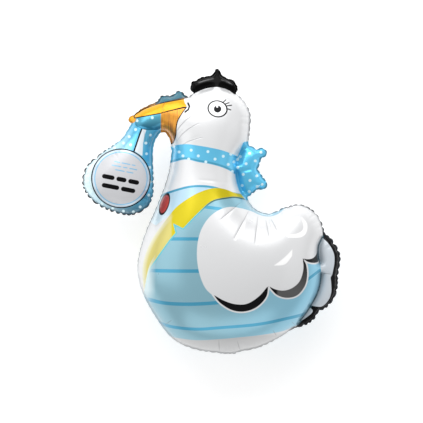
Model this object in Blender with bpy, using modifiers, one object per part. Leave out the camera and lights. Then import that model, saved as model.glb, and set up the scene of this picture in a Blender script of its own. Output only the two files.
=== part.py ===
"""Stork foil balloon, filled and lying on its back sheet.

Two foil sheets are welded round one outline. The outline is the union of flat lobes drawn on a squared
pattern, and the gas lifts the sheets into a pillow: the height over the weld plane follows the square root
of a membrane's sag, which is solved on a grid. Short seams inside the outline hold the sheets down.
The weld plane is level, the beret points along +Y, the beak along -X and the front sheet faces +Z.
"""
import math

import bmesh
import bpy
import numpy as np
from mathutils import Vector
from mathutils.geometry import delaunay_2d_cdt

# Driving dimensions, in metres
HEIGHT = 0.800
HEM_WIDTH = 0.005
HEM_THICKNESS = 0.0012
FULLNESS = 0.85
REST_SPOT_DEPTH = 0.011
PUCKER_LENGTH = 0.034
PUCKER_REACH = 0.030
PUCKER_DEPTH = 0.10

# Spacing of the mesh: along the outline, in the band by it, in the belly, and in the small lobes
OUTLINE_STEP = 0.0085
EDGE_STEP = 0.0125
EDGE_BAND = 0.032
BELLY_STEP = 0.024
DETAIL_STEP = 0.0056
DETAIL_MARGIN = 0.004
HEM_CLEARANCE = 0.6
BAND_CLEARANCE = 0.4

# Grid that the lift is solved on, its shortest link as a share of a step, and the error it ends at
GRID_STEP = 0.0025
SHORTEST_LINK = 0.05
ERROR_GOAL = 1.0e-12

# The pattern's square, its reach from the middle, and the point of it that lies over the rest spot
SQUARE = HEIGHT / 80.0
PATTERN_REACH = 42.0
REST_POINT = (3.8, -15.9)

# Lobes that are drawn as closed smooth lines, in squares from the middle of the height
BIRD = [
    (-2.4, 34.2), (1.5, 35.0), (6.0, 33.5), (9.1, 31.0), (10.9, 27.3), (10.8, 23.4), (10.1, 17.8),
    (9.1, 12.7), (8.9, 8.2), (10.0, 3.8), (12.3, 0.7), (16.1, -0.6), (20.3, 1.0), (24.9, 1.9),
    (29.1, -0.3), (31.5, -5.2), (31.3, -11.4), (31.1, -17.8), (29.4, -25.0), (24.9, -31.0),
    (19.6, -35.0), (13.0, -38.2), (4.9, -39.5), (-2.6, -39.1), (-10.2, -36.2), (-16.0, -29.1),
    (-20.0, -20.9), (-20.8, -14.8), (-18.9, -6.9), (-15.5, 1.2), (-12.3, 9.9), (-11.0, 18.1),
    (-10.2, 25.6), (-6.1, 32.3),
]
THROAT = [
    (-6.9, 31.7), (-11.7, 31.0), (-14.9, 30.1), (-15.6, 27.0), (-15.2, 23.3), (-14.2, 22.3),
    (-13.0, 22.1), (-12.1, 21.0), (-11.5, 19.6), (-11.1, 17.4), (-7.8, 17.8), (-5.5, 24.2),
]
BUNDLE = [
    (-21.5, 26.1), (-22.4, 24.7), (-23.7, 22.6), (-25.1, 20.5), (-28.3, 18.1), (-31.7, 15.7),
    (-34.8, 12.8), (-36.1, 9.2), (-35.4, 5.7), (-32.5, 2.4), (-28.0, 0.1), (-22.6, -0.9),
    (-18.3, 1.0), (-16.6, 4.0), (-16.3, 8.0), (-16.4, 13.0), (-16.4, 17.2), (-15.8, 19.9),
    (-14.4, 22.2), (-13.4, 26.6), (-17.0, 28.4),
]
BOW = [
    (8.8, 18.4), (10.1, 18.7), (11.7, 18.0), (12.8, 17.4), (13.9, 17.8), (15.1, 17.4), (15.5, 16.4),
    (15.1, 15.5), (13.8, 14.8), (13.7, 13.7), (13.0, 11.9), (13.8, 10.5), (14.8, 9.1), (15.5, 8.0),
    (15.3, 6.7), (14.2, 6.1), (13.0, 6.3), (11.6, 5.1), (9.9, 4.1), (8.6, 5.7), (7.9, 9.4), (7.9, 14.4),
]
TAIL = [
    (29.8, -9.7), (31.4, -6.3), (33.2, -7.3), (34.7, -9.2), (35.8, -11.3), (36.1, -13.6), (35.7, -16.0),
    (35.4, -18.4), (35.3, -20.9), (34.8, -23.3), (33.7, -25.3), (32.0, -27.1), (30.1, -28.0),
    (28.9, -30.0), (27.2, -31.4), (25.5, -32.1), (23.5, -32.5), (24.8, -29.9), (27.3, -24.9),
    (28.4, -19.2), (28.4, -13.6),
]
LARGE_LOBES = (BIRD, THROAT, BUNDLE)
SMALL_LOBES = (BOW, TAIL)

# Lobes that are drawn as chains of discs: place and radius, in squares
BEAK = [(-7.8, 30.4, 1.5), (-15.3, 28.9, 1.8), (-19.0, 27.6, 1.4), (-21.4, 26.4, 0.8), (-22.4, 25.8, 0.9)]
SCARF_ENDS = [(-13.8, 31.3, 1.1), (-10.6, 31.7, 0.9), (-9.1, 32.6, 1.2), (-7.5, 31.6, 0.9)]
BERET = [(-4.4, 34.8, 1.5), (-2.4, 35.9, 1.8), (1.6, 36.7, 1.7), (5.2, 35.3, 1.7), (6.0, 34.5, 1.4)]
BERET_STALK = [(1.6, 37.3, 1.8), (1.6, 39.2, 0.8)]
BERET_EAR = [(-4.4, 34.8, 1.4), (-5.0, 35.7, 0.8)]
FILLING_STUB = [(3.3, -38.3, 1.6), (6.4, -38.3, 1.6)]
CHAINS = (BEAK, SCARF_ENDS, BERET, BERET_STALK, BERET_EAR, FILLING_STUB)
CORNER_RADIUS = 0.5

# Seams inside the outline: their lines in squares, their half width, and their pull on the sheets
SEAMS = (
    [(-4.8, 33.1), (-2.4, 34.1), (0.1, 34.7)],
    [(3.0, 34.6), (4.7, 34.0), (6.5, 32.9)],
    [(31.2, -7.0), (30.0, -9.7), (30.0, -12.5), (30.5, -14.6)],
    [(30.8, -17.3), (30.5, -20.1), (29.8, -22.6), (28.1, -26.0), (26.2, -28.9), (24.1, -31.6)],
    [(9.2, 18.1), (7.8, 16.1), (7.1, 13.3)],
    [(7.1, 11.1), (7.4, 8.2), (8.2, 6.0), (9.6, 4.1)],
)
SEAM_WIDTH = 0.004
SEAM_PULL = 4.0e5


def smooth_loop(points, steps=6):
    """Closed line through the points: each stretch is a cubic whose slope at a point runs between its
    neighbours, with the points spaced by the square root of their distance."""
    p = np.array(points, dtype=float)
    before, after, beyond = np.roll(p, 1, 0), np.roll(p, -1, 0), np.roll(p, -2, 0)
    pairs = ((before, p), (p, after), (after, beyond))
    gap = [np.sqrt(np.linalg.norm(b - a, axis=1))[:, None] for a, b in pairs]
    leave = gap[1] * ((p - before) / gap[0] - (after - before) / (gap[0] + gap[1]) + (after - p) / gap[1])
    arrive = gap[1] * ((after - p) / gap[1] - (beyond - p) / (gap[1] + gap[2]) + (beyond - after) / gap[2])
    rows = []
    for t in np.arange(steps) / steps:
        rows.append((2 * t**3 - 3 * t**2 + 1) * p + (t**3 - 2 * t**2 + t) * leave
                    + (3 * t**2 - 2 * t**3) * after + (t**3 - t**2) * arrive)
    return np.stack(rows, axis=1).reshape(-1, 2) * SQUARE


def along_segment(x, y, a, b):
    """Distance to the straight line from a to b, and how far along it the nearest place is, from 0 to 1."""
    dx, dy = b[0] - a[0], b[1] - a[1]
    t = np.clip(((x - a[0]) * dx + (y - a[1]) * dy) / (dx * dx + dy * dy), 0.0, 1.0)
    return np.hypot(x - a[0] - t * dx, y - a[1] - t * dy), t


def loop_distance(x, y, loop):
    """Signed distance to a closed line, below zero inside it."""
    nearest = np.full(x.shape, np.inf)
    inside = np.zeros(x.shape, dtype=bool)
    for a, b in zip(loop, np.roll(loop, -1, 0)):
        nearest = np.minimum(nearest, along_segment(x, y, a, b)[0])
        if a[1] != b[1]:
            crosses = (a[1] > y) != (b[1] > y)
            inside ^= crosses & (x < a[0] + (y - a[1]) * (b[0] - a[0]) / (b[1] - a[1]))
    return np.where(inside, -nearest, nearest)


def chain_distance(x, y, discs):
    """Signed distance to a chain of discs that is filled out between each disc and the next."""
    rows = np.array(discs) * SQUARE
    nearest = np.full(x.shape, np.inf)
    for a, b in zip(rows[:-1], rows[1:]):
        gap, t = along_segment(x, y, a, b)
        nearest = np.minimum(nearest, gap - a[2] - t * (b[2] - a[2]))
    return nearest


def seam_distance(x, y, points):
    """Distance to an open line through the points."""
    rows = np.array(points) * SQUARE
    return np.min([along_segment(x, y, a, b)[0] for a, b in zip(rows[:-1], rows[1:])], axis=0)


def join(a, b, radius):
    """Union of two signed distances, with its inner corners rounded."""
    blend = np.maximum(radius - np.abs(a - b), 0.0)
    return np.minimum(a, b) - blend * blend / (4.0 * radius)


def join_all(distances):
    """Union of many signed distances, one after the other."""
    whole = distances[0]
    for distance in distances[1:]:
        whole = join(whole, distance, CORNER_RADIUS * SQUARE)
    return whole


def solve_sag(gap, hold):
    """Sag of a membrane under an even load, fixed where gap is zero and held back by springs of strength
    hold. Conjugate gradients on the grid; a neighbour past the outline counts where the line is crossed."""
    inside = gap < 0.0
    weight = hold * GRID_STEP**2
    links = []
    for axis in (0, 1):
        for step in (1, -1):
            other = np.roll(gap, step, axis)
            linked = inside & (other < 0.0)
            share = np.clip(gap / np.where(other == gap, 1.0, gap - other), SHORTEST_LINK, 1.0)
            weight = weight + np.where(linked, 1.0, 1.0 / share)
            links.append((axis, step, linked))

    def pull(u):
        out = weight * u
        for axis, step, linked in links:
            out = out - np.where(linked, np.roll(u, step, axis), 0.0)
        return np.where(inside, out, 0.0)

    sag = np.zeros(gap.shape)
    left = np.where(inside, GRID_STEP**2, 0.0)
    way = left / weight
    worth = np.sum(left * way)
    goal = ERROR_GOAL * worth
    while worth > goal:
        pulled = pull(way)
        stride = worth / np.sum(way * pulled)
        sag += stride * way
        left -= stride * pulled
        eased = left / weight
        new_worth = np.sum(left * eased)
        way = eased + (new_worth / worth) * way
        worth = new_worth
    return sag


class Pillow:
    """Height of the front sheet over the weld plane, on a grid."""

    def __init__(self):
        reach = PATTERN_REACH * SQUARE
        self.axis = np.arange(-reach, reach + GRID_STEP, GRID_STEP)
        self.x, self.y = np.meshgrid(self.axis, self.axis, indexing="ij")
        large = [loop_distance(self.x, self.y, smooth_loop(lobe)) for lobe in LARGE_LOBES]
        small = [loop_distance(self.x, self.y, smooth_loop(lobe)) for lobe in SMALL_LOBES]
        small += [chain_distance(self.x, self.y, chain) for chain in CHAINS]
        self.gap = join_all(large + small)
        self.to_detail = np.min(small, axis=0)
        depth = self.depth_from_outline()
        self.gap = np.where((self.gap < 0.0) & (depth > 2.0 * HEM_WIDTH), -depth, self.gap)
        hold = np.zeros(self.gap.shape)
        for seam in SEAMS:
            near = seam_distance(self.x, self.y, seam) / SEAM_WIDTH
            hold = np.maximum(hold, SEAM_PULL * np.exp(-near * near))
        sag = solve_sag(self.gap + HEM_WIDTH, hold)
        self.lift = FULLNESS * np.sqrt(2.0 * np.maximum(sag, 0.0))

    def depth_from_outline(self):
        """Distance to the joined outline; a lobe's own distance falls short of it where two lobes meet."""
        depth = np.full(self.gap.shape, np.inf)
        for loop in self.contour(0.0):
            ring = spaced_points(self, loop)
            for a, b in zip(ring, np.roll(ring, -1, 0)):
                depth = np.minimum(depth, along_segment(self.x, self.y, a, b)[0])
        return depth

    def read(self, table, x, y):
        """Value of a table at any places, straight between the grid's points."""
        i = (x - self.axis[0]) / GRID_STEP
        j = (y - self.axis[0]) / GRID_STEP
        i0, j0 = np.floor(i).astype(int), np.floor(j).astype(int)
        i, j = i - i0, j - j0
        low = table[i0, j0] * (1 - j) + table[i0, j0 + 1] * j
        high = table[i0 + 1, j0] * (1 - j) + table[i0 + 1, j0 + 1] * j
        return low * (1 - i) + high * i

    def height(self, x, y):
        """Height of the sheet: the hem rises to half its thickness, and the pillow's lift on top of it is
        puckered by a wave that runs along the outline and dies away with the depth."""
        depth = -self.read(self.gap, x, y)
        rise = np.clip(depth / HEM_WIDTH, 0.0, 1.0) * HEM_THICKNESS / 2.0
        wave = np.cos(2.0 * math.pi * self.run_at(x, y) / PUCKER_LENGTH)
        pucker = 1.0 + PUCKER_DEPTH * wave * np.exp(-np.square(depth / PUCKER_REACH))
        return np.where(depth < HEM_WIDTH / 4.0, 0.0, rise + self.read(self.lift, x, y) * pucker)

    def run_at(self, x, y):
        """Length along the outline to the place of it that is nearest to each point."""
        nearest, run, start = np.full(x.shape, np.inf), np.zeros(x.shape), 0.0
        for loop in self.contour(0.0):
            for a, b in zip(loop, np.roll(loop, -1, 0)):
                gap, t = along_segment(x, y, a, b)
                length = math.dist(a, b)
                run = np.where(gap < nearest, start + t * length, run)
                nearest = np.minimum(nearest, gap)
                start += length
        return run

    def in_small_lobe(self, x, y):
        """Whether places lie in a small lobe, where the mesh is finer."""
        return self.read(self.to_detail, x, y) < DETAIL_MARGIN

    def contour(self, level):
        """Closed lines where the distance to the outline is level, each as a list of places."""
        f = self.gap - level
        ends = {}
        for i, j in zip(*np.nonzero(self.cells_crossed(f))):
            corners = ((i, j), (i + 1, j), (i + 1, j + 1), (i, j + 1))
            sides = zip(corners, corners[1:] + corners[:1])
            cuts = [(a, b) for a, b in sides if (f[a] < 0.0) != (f[b] < 0.0)]
            for a, b in zip(cuts[0::2], cuts[1::2]):
                ends.setdefault(frozenset(a), []).append(frozenset(b))
                ends.setdefault(frozenset(b), []).append(frozenset(a))
        loops = []
        while ends:
            edge, loop = next(iter(ends)), []
            while edge in ends:
                loop.append(self.crossing(f, edge))
                edge = next((other for other in ends.pop(edge) if other in ends), None)
            loops.append(np.array(loop))
        return loops

    @staticmethod
    def cells_crossed(f):
        """Cells of the grid that have corners on both sides of zero."""
        below = f < 0.0
        count = below[:-1, :-1].astype(int) + below[1:, :-1] + below[1:, 1:] + below[:-1, 1:]
        return (count > 0) & (count < 4)

    def crossing(self, f, edge):
        """Place on one edge of the grid where the table passes zero."""
        a, b = sorted(edge)
        t = f[a] / (f[a] - f[b])
        return tuple(self.axis[i] * (1 - t) + self.axis[j] * t for i, j in zip(a, b))


def spaced_points(pillow, loop):
    """Points along a closed line at the mesh's own spacing."""
    closed = np.vstack([loop, loop[:1]])
    steps = np.where(pillow.in_small_lobe(loop[:, 0], loop[:, 1]), DETAIL_STEP, OUTLINE_STEP)
    run = np.concatenate([[0.0], np.cumsum(np.linalg.norm(np.diff(closed, axis=0), axis=1) / steps)])
    count = max(6, round(run[-1]))
    at = np.arange(count) * run[-1] / count
    return np.stack([np.interp(at, run, closed[:, 0]), np.interp(at, run, closed[:, 1])], axis=1)


def lattice(pillow, step, shallow, deep, in_lobes):
    """Points of a triangular lattice whose depth inside the outline lies between shallow and deep, either
    in the small lobes or outside them."""
    reach = PATTERN_REACH * SQUARE
    rows = np.arange(-reach, reach, step * math.sqrt(0.75))
    columns = np.arange(-reach, reach - step, step)
    x, y = np.meshgrid(columns, rows, indexing="ij")
    x = (x + np.where(np.arange(len(rows)) % 2, step / 2.0, 0.0)).ravel()
    y = y.ravel()
    depth = -pillow.read(pillow.gap, x, y)
    keep = (depth > shallow) & (depth < deep) & (pillow.in_small_lobe(x, y) == in_lobes)
    return np.stack([x[keep], y[keep]], axis=1)


def front_sheet(pillow):
    """Flat triangulation of the pattern: its outline, the hem's inner line and the lattices inside it."""
    places, edges = [], []
    for level in (0.0, -HEM_WIDTH):
        for loop in pillow.contour(level):
            ring = spaced_points(pillow, loop)
            first = sum(len(part) for part in places)
            edges += [(first + k, first + (k + 1) % len(ring)) for k in range(len(ring))]
            places.append(ring)
    places.append(lattice(pillow, DETAIL_STEP, HEM_WIDTH + HEM_CLEARANCE * DETAIL_STEP, math.inf, True))
    places.append(lattice(pillow, EDGE_STEP, HEM_WIDTH + HEM_CLEARANCE * EDGE_STEP, EDGE_BAND, False))
    places.append(lattice(pillow, BELLY_STEP, EDGE_BAND + BAND_CLEARANCE * BELLY_STEP, math.inf, False))
    flat = np.vstack(places)
    outline = list(range(len(places[0])))
    result = delaunay_2d_cdt([Vector(p) for p in flat], edges, [outline], 1, 1e-7)
    return np.array([tuple(v) for v in result[0]]), result[2]


def foil_material():
    """White foil with a satin print."""
    material = bpy.data.materials.new("printed_foil")
    material.use_nodes = True
    shader = material.node_tree.nodes["Principled BSDF"]
    shader.inputs["Base Color"].default_value = (0.84, 0.86, 0.88, 1.0)
    shader.inputs["Roughness"].default_value = 0.24
    shader.inputs["Metallic"].default_value = 0.35
    return material


def add_object(name, mesh, home):
    """Object in a collection."""
    thing = bpy.data.objects.new(name, mesh)
    home.objects.link(thing)
    return thing


def rest_cutter(level, home):
    """Block whose top face lies at the level of the rest spot."""
    mesh = bpy.data.meshes.new("rest_cutter")
    shape = bmesh.new()
    bmesh.ops.create_cube(shape, size=HEIGHT)
    shape.to_mesh(mesh)
    shape.free()
    cutter = add_object("rest_cutter", mesh, home)
    cutter.location = (0.0, 0.0, level - HEIGHT / 2.0)
    cutter.display_type = "WIRE"
    cutter.hide_render = True
    return cutter


def build_envelope(home, cutters):
    """The balloon: the front sheet, mirrored in the weld plane, and cut flat where it lies."""
    pillow = Pillow()
    flat, faces = front_sheet(pillow)
    x, y = flat[:, 0], flat[:, 1]
    z = pillow.height(x, y)
    rest_x, rest_y = REST_POINT[0] * SQUARE, REST_POINT[1] * SQUARE
    lift = z.max() - REST_SPOT_DEPTH
    mesh = bpy.data.meshes.new("foil_envelope")
    mesh.from_pydata(np.stack([x - rest_x, y - rest_y, z], axis=1).tolist(), [], faces)
    mesh.materials.append(foil_material())
    mesh.shade_smooth()
    envelope = add_object("foil_envelope", mesh, home)
    envelope.location = (0.0, 0.0, lift)
    mirror = envelope.modifiers.new("back_sheet", "MIRROR")
    mirror.use_axis = (False, False, True)
    mirror.merge_threshold = 0.00001
    cut = envelope.modifiers.new("rest_spot", "BOOLEAN")
    cut.operation = "DIFFERENCE"
    cut.object = rest_cutter(0.0, cutters)
    return envelope


def main():
    """Clear the scene and build the balloon."""
    for thing in list(bpy.data.objects):
        bpy.data.objects.remove(thing, do_unlink=True)
    home = bpy.data.collections.new("stork_foil_balloon")
    cutters = bpy.data.collections.new("cutters")
    for collection in (home, cutters):
        bpy.context.scene.collection.children.link(collection)
    build_envelope(home, cutters)


if __name__ == "__main__":
    main()
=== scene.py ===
"""Stork foil balloon, filled and lying on its back sheet, seen from straight above on a pale floor.

Places on the flat sheets are given in squares, an eightieth of the balloon's height, counted from the
middle of the height: x runs towards the tail and y towards the beret. The outline's places lie on the weld
plane. The print's places are those of a picture taken from straight above the middle, 500 squares over the
weld plane.
"""
import math

import bpy
import numpy as np
from bpy.props import FloatProperty, FloatVectorProperty, PointerProperty
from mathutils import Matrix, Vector
from mathutils.geometry import delaunay_2d_cdt


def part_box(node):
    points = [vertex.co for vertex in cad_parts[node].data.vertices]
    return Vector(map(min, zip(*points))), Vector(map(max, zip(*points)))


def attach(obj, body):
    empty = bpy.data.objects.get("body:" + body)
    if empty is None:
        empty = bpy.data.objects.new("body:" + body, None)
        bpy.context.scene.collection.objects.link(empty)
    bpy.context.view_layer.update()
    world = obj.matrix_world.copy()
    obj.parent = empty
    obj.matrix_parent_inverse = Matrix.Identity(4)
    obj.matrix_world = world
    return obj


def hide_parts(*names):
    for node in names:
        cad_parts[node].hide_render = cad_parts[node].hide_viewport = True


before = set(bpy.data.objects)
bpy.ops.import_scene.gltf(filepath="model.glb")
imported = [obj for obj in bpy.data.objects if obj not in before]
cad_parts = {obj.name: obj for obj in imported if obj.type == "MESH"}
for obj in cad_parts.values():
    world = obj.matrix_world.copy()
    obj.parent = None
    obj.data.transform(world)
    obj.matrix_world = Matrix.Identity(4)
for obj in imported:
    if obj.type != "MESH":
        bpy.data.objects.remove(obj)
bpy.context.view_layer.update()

bl_info = {
    "name": "Stork foil balloon",
    "version": (1, 0, 0),
    "blender": (4, 5, 0),
    "location": "View3D > Sidebar > Foil balloon",
    "description": "A stork-shaped balloon of printed foil, with its puckered hem, print and studio",
    "category": "Add Mesh",
}

SKIN_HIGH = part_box("foil_envelope")[1]

# Squares to the balloon's height, the mount's place, and how far off the print's places are seen from
SQUARES = 80.0
REST_POINT = (3.8, -15.9)
PICTURE_DISTANCE = 500.0

# Lobes of the outline that are drawn as closed smooth lines
BIRD = [
    (-2.4, 34.2), (1.5, 35.0), (6.0, 33.5), (9.1, 31.0), (10.9, 27.3), (10.8, 23.4), (10.1, 17.8),
    (9.1, 12.7), (8.9, 8.2), (10.0, 3.8), (12.3, 0.7), (16.1, -0.6), (20.3, 1.0), (24.9, 1.9),
    (29.1, -0.3), (31.5, -5.2), (31.3, -11.4), (31.1, -17.8), (29.4, -25.0), (24.9, -31.0),
    (19.6, -35.0), (13.0, -38.2), (4.9, -39.5), (-2.6, -39.1), (-10.2, -36.2), (-16.0, -29.1),
    (-20.0, -20.9), (-20.8, -14.8), (-18.9, -6.9), (-15.5, 1.2), (-12.3, 9.9), (-11.0, 18.1),
    (-10.2, 25.6), (-6.1, 32.3),
]
THROAT = [
    (-6.9, 31.7), (-11.7, 31.0), (-14.9, 30.1), (-15.6, 27.0), (-15.2, 23.3), (-14.2, 22.3),
    (-13.0, 22.1), (-12.1, 21.0), (-11.5, 19.6), (-11.1, 17.4), (-7.8, 17.8), (-5.5, 24.2),
]
BUNDLE = [
    (-21.5, 26.1), (-22.4, 24.7), (-23.7, 22.6), (-25.1, 20.5), (-28.3, 18.1), (-31.7, 15.7),
    (-34.8, 12.8), (-36.1, 9.2), (-35.4, 5.7), (-32.5, 2.4), (-28.0, 0.1), (-22.6, -0.9),
    (-18.3, 1.0), (-16.6, 4.0), (-16.3, 8.0), (-16.4, 13.0), (-16.4, 17.2), (-15.8, 19.9),
    (-14.4, 22.2), (-13.4, 26.6), (-17.0, 28.4),
]
BOW = [
    (8.8, 18.4), (10.1, 18.7), (11.7, 18.0), (12.8, 17.4), (13.9, 17.8), (15.1, 17.4), (15.5, 16.4),
    (15.1, 15.5), (13.8, 14.8), (13.7, 13.7), (13.0, 11.9), (13.8, 10.5), (14.8, 9.1), (15.5, 8.0),
    (15.3, 6.7), (14.2, 6.1), (13.0, 6.3), (11.6, 5.1), (9.9, 4.1), (8.6, 5.7), (7.9, 9.4), (7.9, 14.4),
]
TAIL = [
    (29.8, -9.7), (31.4, -6.3), (33.2, -7.3), (34.7, -9.2), (35.8, -11.3), (36.1, -13.6), (35.7, -16.0),
    (35.4, -18.4), (35.3, -20.9), (34.8, -23.3), (33.7, -25.3), (32.0, -27.1), (30.1, -28.0),
    (28.9, -30.0), (27.2, -31.4), (25.5, -32.1), (23.5, -32.5), (24.8, -29.9), (27.3, -24.9),
    (28.4, -19.2), (28.4, -13.6),
]
LARGE_LOBES = (BIRD, THROAT, BUNDLE)
SMALL_LOBES = (BOW, TAIL)

# Lobes that are chains of discs: place and radius
BEAK = [(-7.8, 30.4, 1.5), (-15.3, 28.9, 1.8), (-19.0, 27.6, 1.4), (-21.4, 26.4, 0.8), (-22.4, 25.8, 0.9)]
SCARF_ENDS = [(-13.8, 31.3, 1.1), (-10.6, 31.7, 0.9), (-9.1, 32.6, 1.2), (-7.5, 31.6, 0.9)]
BERET = [(-4.4, 34.8, 1.5), (-2.4, 35.9, 1.8), (1.6, 36.7, 1.7), (5.2, 35.3, 1.7), (6.0, 34.5, 1.4)]
BERET_STALK = [(1.6, 37.3, 1.8), (1.6, 39.2, 0.8)]
BERET_EAR = [(-4.4, 34.8, 1.4), (-5.0, 35.7, 0.8)]
FILLING_STUB = [(3.3, -38.3, 1.6), (6.4, -38.3, 1.6)]
CHAINS = (BEAK, SCARF_ENDS, BERET, BERET_STALK, BERET_EAR, FILLING_STUB)

# Radius of the inner corner where two lobes meet
CORNER_RADIUS = 0.5

# Short seams inside the outline that hold the sheets down
TAIL_SEAM_HIGH = [(31.2, -7.0), (30.0, -9.7), (30.0, -12.5), (30.5, -14.6)]
TAIL_SEAM_LOW = [(30.8, -17.3), (30.5, -20.1), (29.8, -22.6), (28.1, -26.0), (26.2, -28.9), (24.1, -31.6)]
SEAMS = (
    [(-4.8, 33.1), (-2.4, 34.1), (0.1, 34.7)],
    [(3.0, 34.6), (4.7, 34.0), (6.5, 32.9)],
    TAIL_SEAM_HIGH,
    TAIL_SEAM_LOW,
    [(9.2, 18.1), (7.8, 16.1), (7.1, 13.3)],
    [(7.1, 11.1), (7.4, 8.2), (8.2, 6.0), (9.6, 4.1)],
)

# Creases in the filled sheets: their two ends, their depth and half width in squares
CREASES = (
    ((8.2, 2.6), (2.5, -2.4), 0.14, 0.30),
    ((10.5, 0.3), (6.3, -7.7), 0.17, 0.32),
    ((13.0, -1.2), (12.2, -8.9), 0.16, 0.30),
    ((15.2, -2.3), (16.2, -7.0), 0.14, 0.30),
    ((16.6, -2.0), (18.5, -5.4), 0.12, 0.28),
    ((18.8, -1.4), (20.3, -2.9), 0.10, 0.28),
    ((-9.8, 22.3), (-7.9, 24.1), 0.05, 0.30),
    ((-8.5, 18.9), (-3.0, 20.9), 0.05, 0.30),
    ((-3.8, 8.8), (6.2, 7.8), 0.06, 0.30),
    ((30.9, -17.3), (33.6, -17.6), 0.18, 0.28),
    ((8.1, 11.2), (12.5, 12.1), 0.30, 0.45),
    ((8.9, 17.2), (8.0, 12.6), 0.12, 0.35),
    ((8.1, 10.2), (9.3, 5.7), 0.12, 0.35),
    ((-21.2, 24.2), (-15.0, 22.9), 0.20, 0.40),
    ((2.05, -35.8), (2.2, -39.0), 0.12, 0.35),
    ((7.2, -36.0), (8.1, -38.6), 0.14, 0.35),
    ((17.2, -33.2), (18.1, -34.6), 0.12, 0.32),
    ((22.4, -30.8), (23.4, -31.8), 0.12, 0.32),
    ((-4.2, -37.4), (-4.3, -38.6), 0.12, 0.32),
    ((-13.4, -32.0), (-10.8, -30.2), 0.10, 0.30),
)

# Hairlines in the sheet, too fine for the mesh, bumped and darkened with painted shade: points of each line
# and its half width
HAIRLINES = (
    (((-10.0, 22.2), (-8.7, 24.0), (-7.3, 25.5), (-5.0, 27.1)), 0.22),
    (((-9.7, 19.7), (-8.3, 21.6), (-6.6, 23.0), (-5.0, 24.0), (-3.5, 24.7)), 0.22),
    (((-8.3, 18.6), (-6.6, 19.6), (-4.4, 20.3), (-2.4, 20.8)), 0.20),
    *((crease[:2], 0.22) for crease in CREASES[:4]),
    (((16.6, -2.0), (18.5, -5.4)), 0.20),
    (((2.05, -36.0), (2.2, -39.3)), 0.20),
    (((7.2, -36.2), (7.7, -38.0), (8.1, -39.0)), 0.20),
    (((17.2, -33.3), (18.2, -34.8)), 0.20),
    (((22.5, -30.9), (23.4, -31.8)), 0.18),
    (((-13.1, -31.8), (-10.9, -30.3)), 0.20),
    (((30.9, -17.3), (33.9, -17.6)), 0.20),
    (((-19.0, 22.8), (-18.4, 19.2)), 0.18),
    (((-17.4, 22.6), (-17.6, 17.2)), 0.18),
    (((-16.1, 22.4), (-16.9, 18.0)), 0.18),
)

# Places where the hem puckers most or where painted shadow darkens its edge: middle, radius and both
# strengths
HEM_PLACES = (
    (-27.3, 7.0, 14.0, 1.0, 1.0), (11.8, 11.6, 9.0, 0.55, 0.6), (34.0, -17.0, 14.0, 0.75, 0.9),
    (28.0, -30.5, 8.0, 0.7, 0.8), (25.0, 2.0, 10.0, 0.6, 0.7), (5.0, -39.5, 16.0, 0.45, 0.0),
    (12.0, 27.0, 9.0, 0.4, 0.6), (-11.0, 32.5, 7.0, 0.6, 0.9), (0.0, 38.0, 9.0, 0.35, 0.0),
    (31.0, -3.0, 8.0, 0.6, 0.9), (-13.0, 10.0, 9.0, 0.15, 0.5), (-16.0, 0.0, 9.0, 0.15, 0.5),
    (-19.5, -10.0, 6.0, 0.2, 0.3), (16.0, -0.5, 7.0, 0.2, 0.4),
)
CALM_PUCKER = 0.22

# Slow waves that make the puckers' steps uneven: size in puckers, waves round the outline, and start
PUCKER_WANDER = ((0.25, 23.0, 0.0), (0.18, 41.0, 1.3))

# Print: each region is a list of stretches, and each stretch is smooth from its first point to its last
BERET_PRINT = (
    [(-6.1, 32.4), (-4.4, 33.3), (-2.4, 34.2), (-0.5, 34.7), (1.3, 34.9), (3.2, 34.6), (4.9, 33.9),
     (6.5, 32.8)],
    [(12.0, 36.0)], [(12.0, 44.0)], [(-12.0, 44.0)], [(-12.0, 36.0)],
)
BEAK_TOP = [(-21.7, 27.0), (-19.2, 28.6), (-15.8, 29.9), (-12.9, 30.6), (-7.7, 31.6)]
BEAK_PRINT = (
    [(-21.7, 26.2)], BEAK_TOP, [(-7.7, 31.6), (-7.6, 30.7), (-6.9, 29.5)], [(-13.5, 27.8)], [(-14.5, 27.5)],
)
BEAK_BAND = (BEAK_TOP, [(-7.0, 33.5)], [(-22.0, 33.5)])
POUCH_PRINT = (
    [(-14.2, 27.7)], [(-7.0, 29.3), (-8.5, 27.2), (-9.5, 25.4), (-9.9, 23.4), (-10.0, 21.4), (-10.7, 19.3)],
    [(-13.0, 18.0)], [(-14.4, 21.0)], [(-14.2, 23.0)],
)
CREST_PRINT = (
    [(-15.6, 30.2), (-14.0, 33.4)], [(-7.5, 36.0)], [(-6.2, 32.7)],
    [(-7.6, 32.0), (-10.9, 31.2), (-13.9, 30.5), (-15.6, 30.2)],
)
KNOT_PRINT = (
    [(-21.6, 26.1)], [(-14.3, 27.4)], [(-14.1, 25.1), (-14.3, 23.0)],
    [(-14.3, 23.0), (-17.3, 22.8), (-19.6, 23.2), (-21.3, 24.2), (-21.6, 26.1)],
)
STRAP_PRINT = ([(-19.5, 23.1), (-20.3, 21.2), (-20.9, 19.4), (-21.7, 17.0)], [(-19.4, 15.5)],
               [(-19.2, 19.0), (-18.8, 21.2), (-18.2, 23.3)])
SCARF_PRINT = (
    [(-12.9, 17.5), (-9.9, 18.6), (-7.1, 18.9), (-3.8, 18.5), (-0.3, 17.9), (3.2, 17.1), (7.1, 15.6),
     (9.2, 14.6)],
    [(9.2, 8.1), (7.1, 10.0), (5.7, 11.1), (3.2, 12.3), (-0.3, 13.3), (-3.8, 13.9), (-7.1, 14.6),
     (-10.5, 13.9), (-12.9, 13.2)],
)
BOW_PRINT = (
    [(9.0, 19.5), (7.9, 16.8), (6.8, 13.9), (6.6, 11.2), (7.0, 8.4), (7.9, 5.6), (9.6, 3.2)],
    [(20.0, 3.0)], [(20.0, 21.0)],
)
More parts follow.
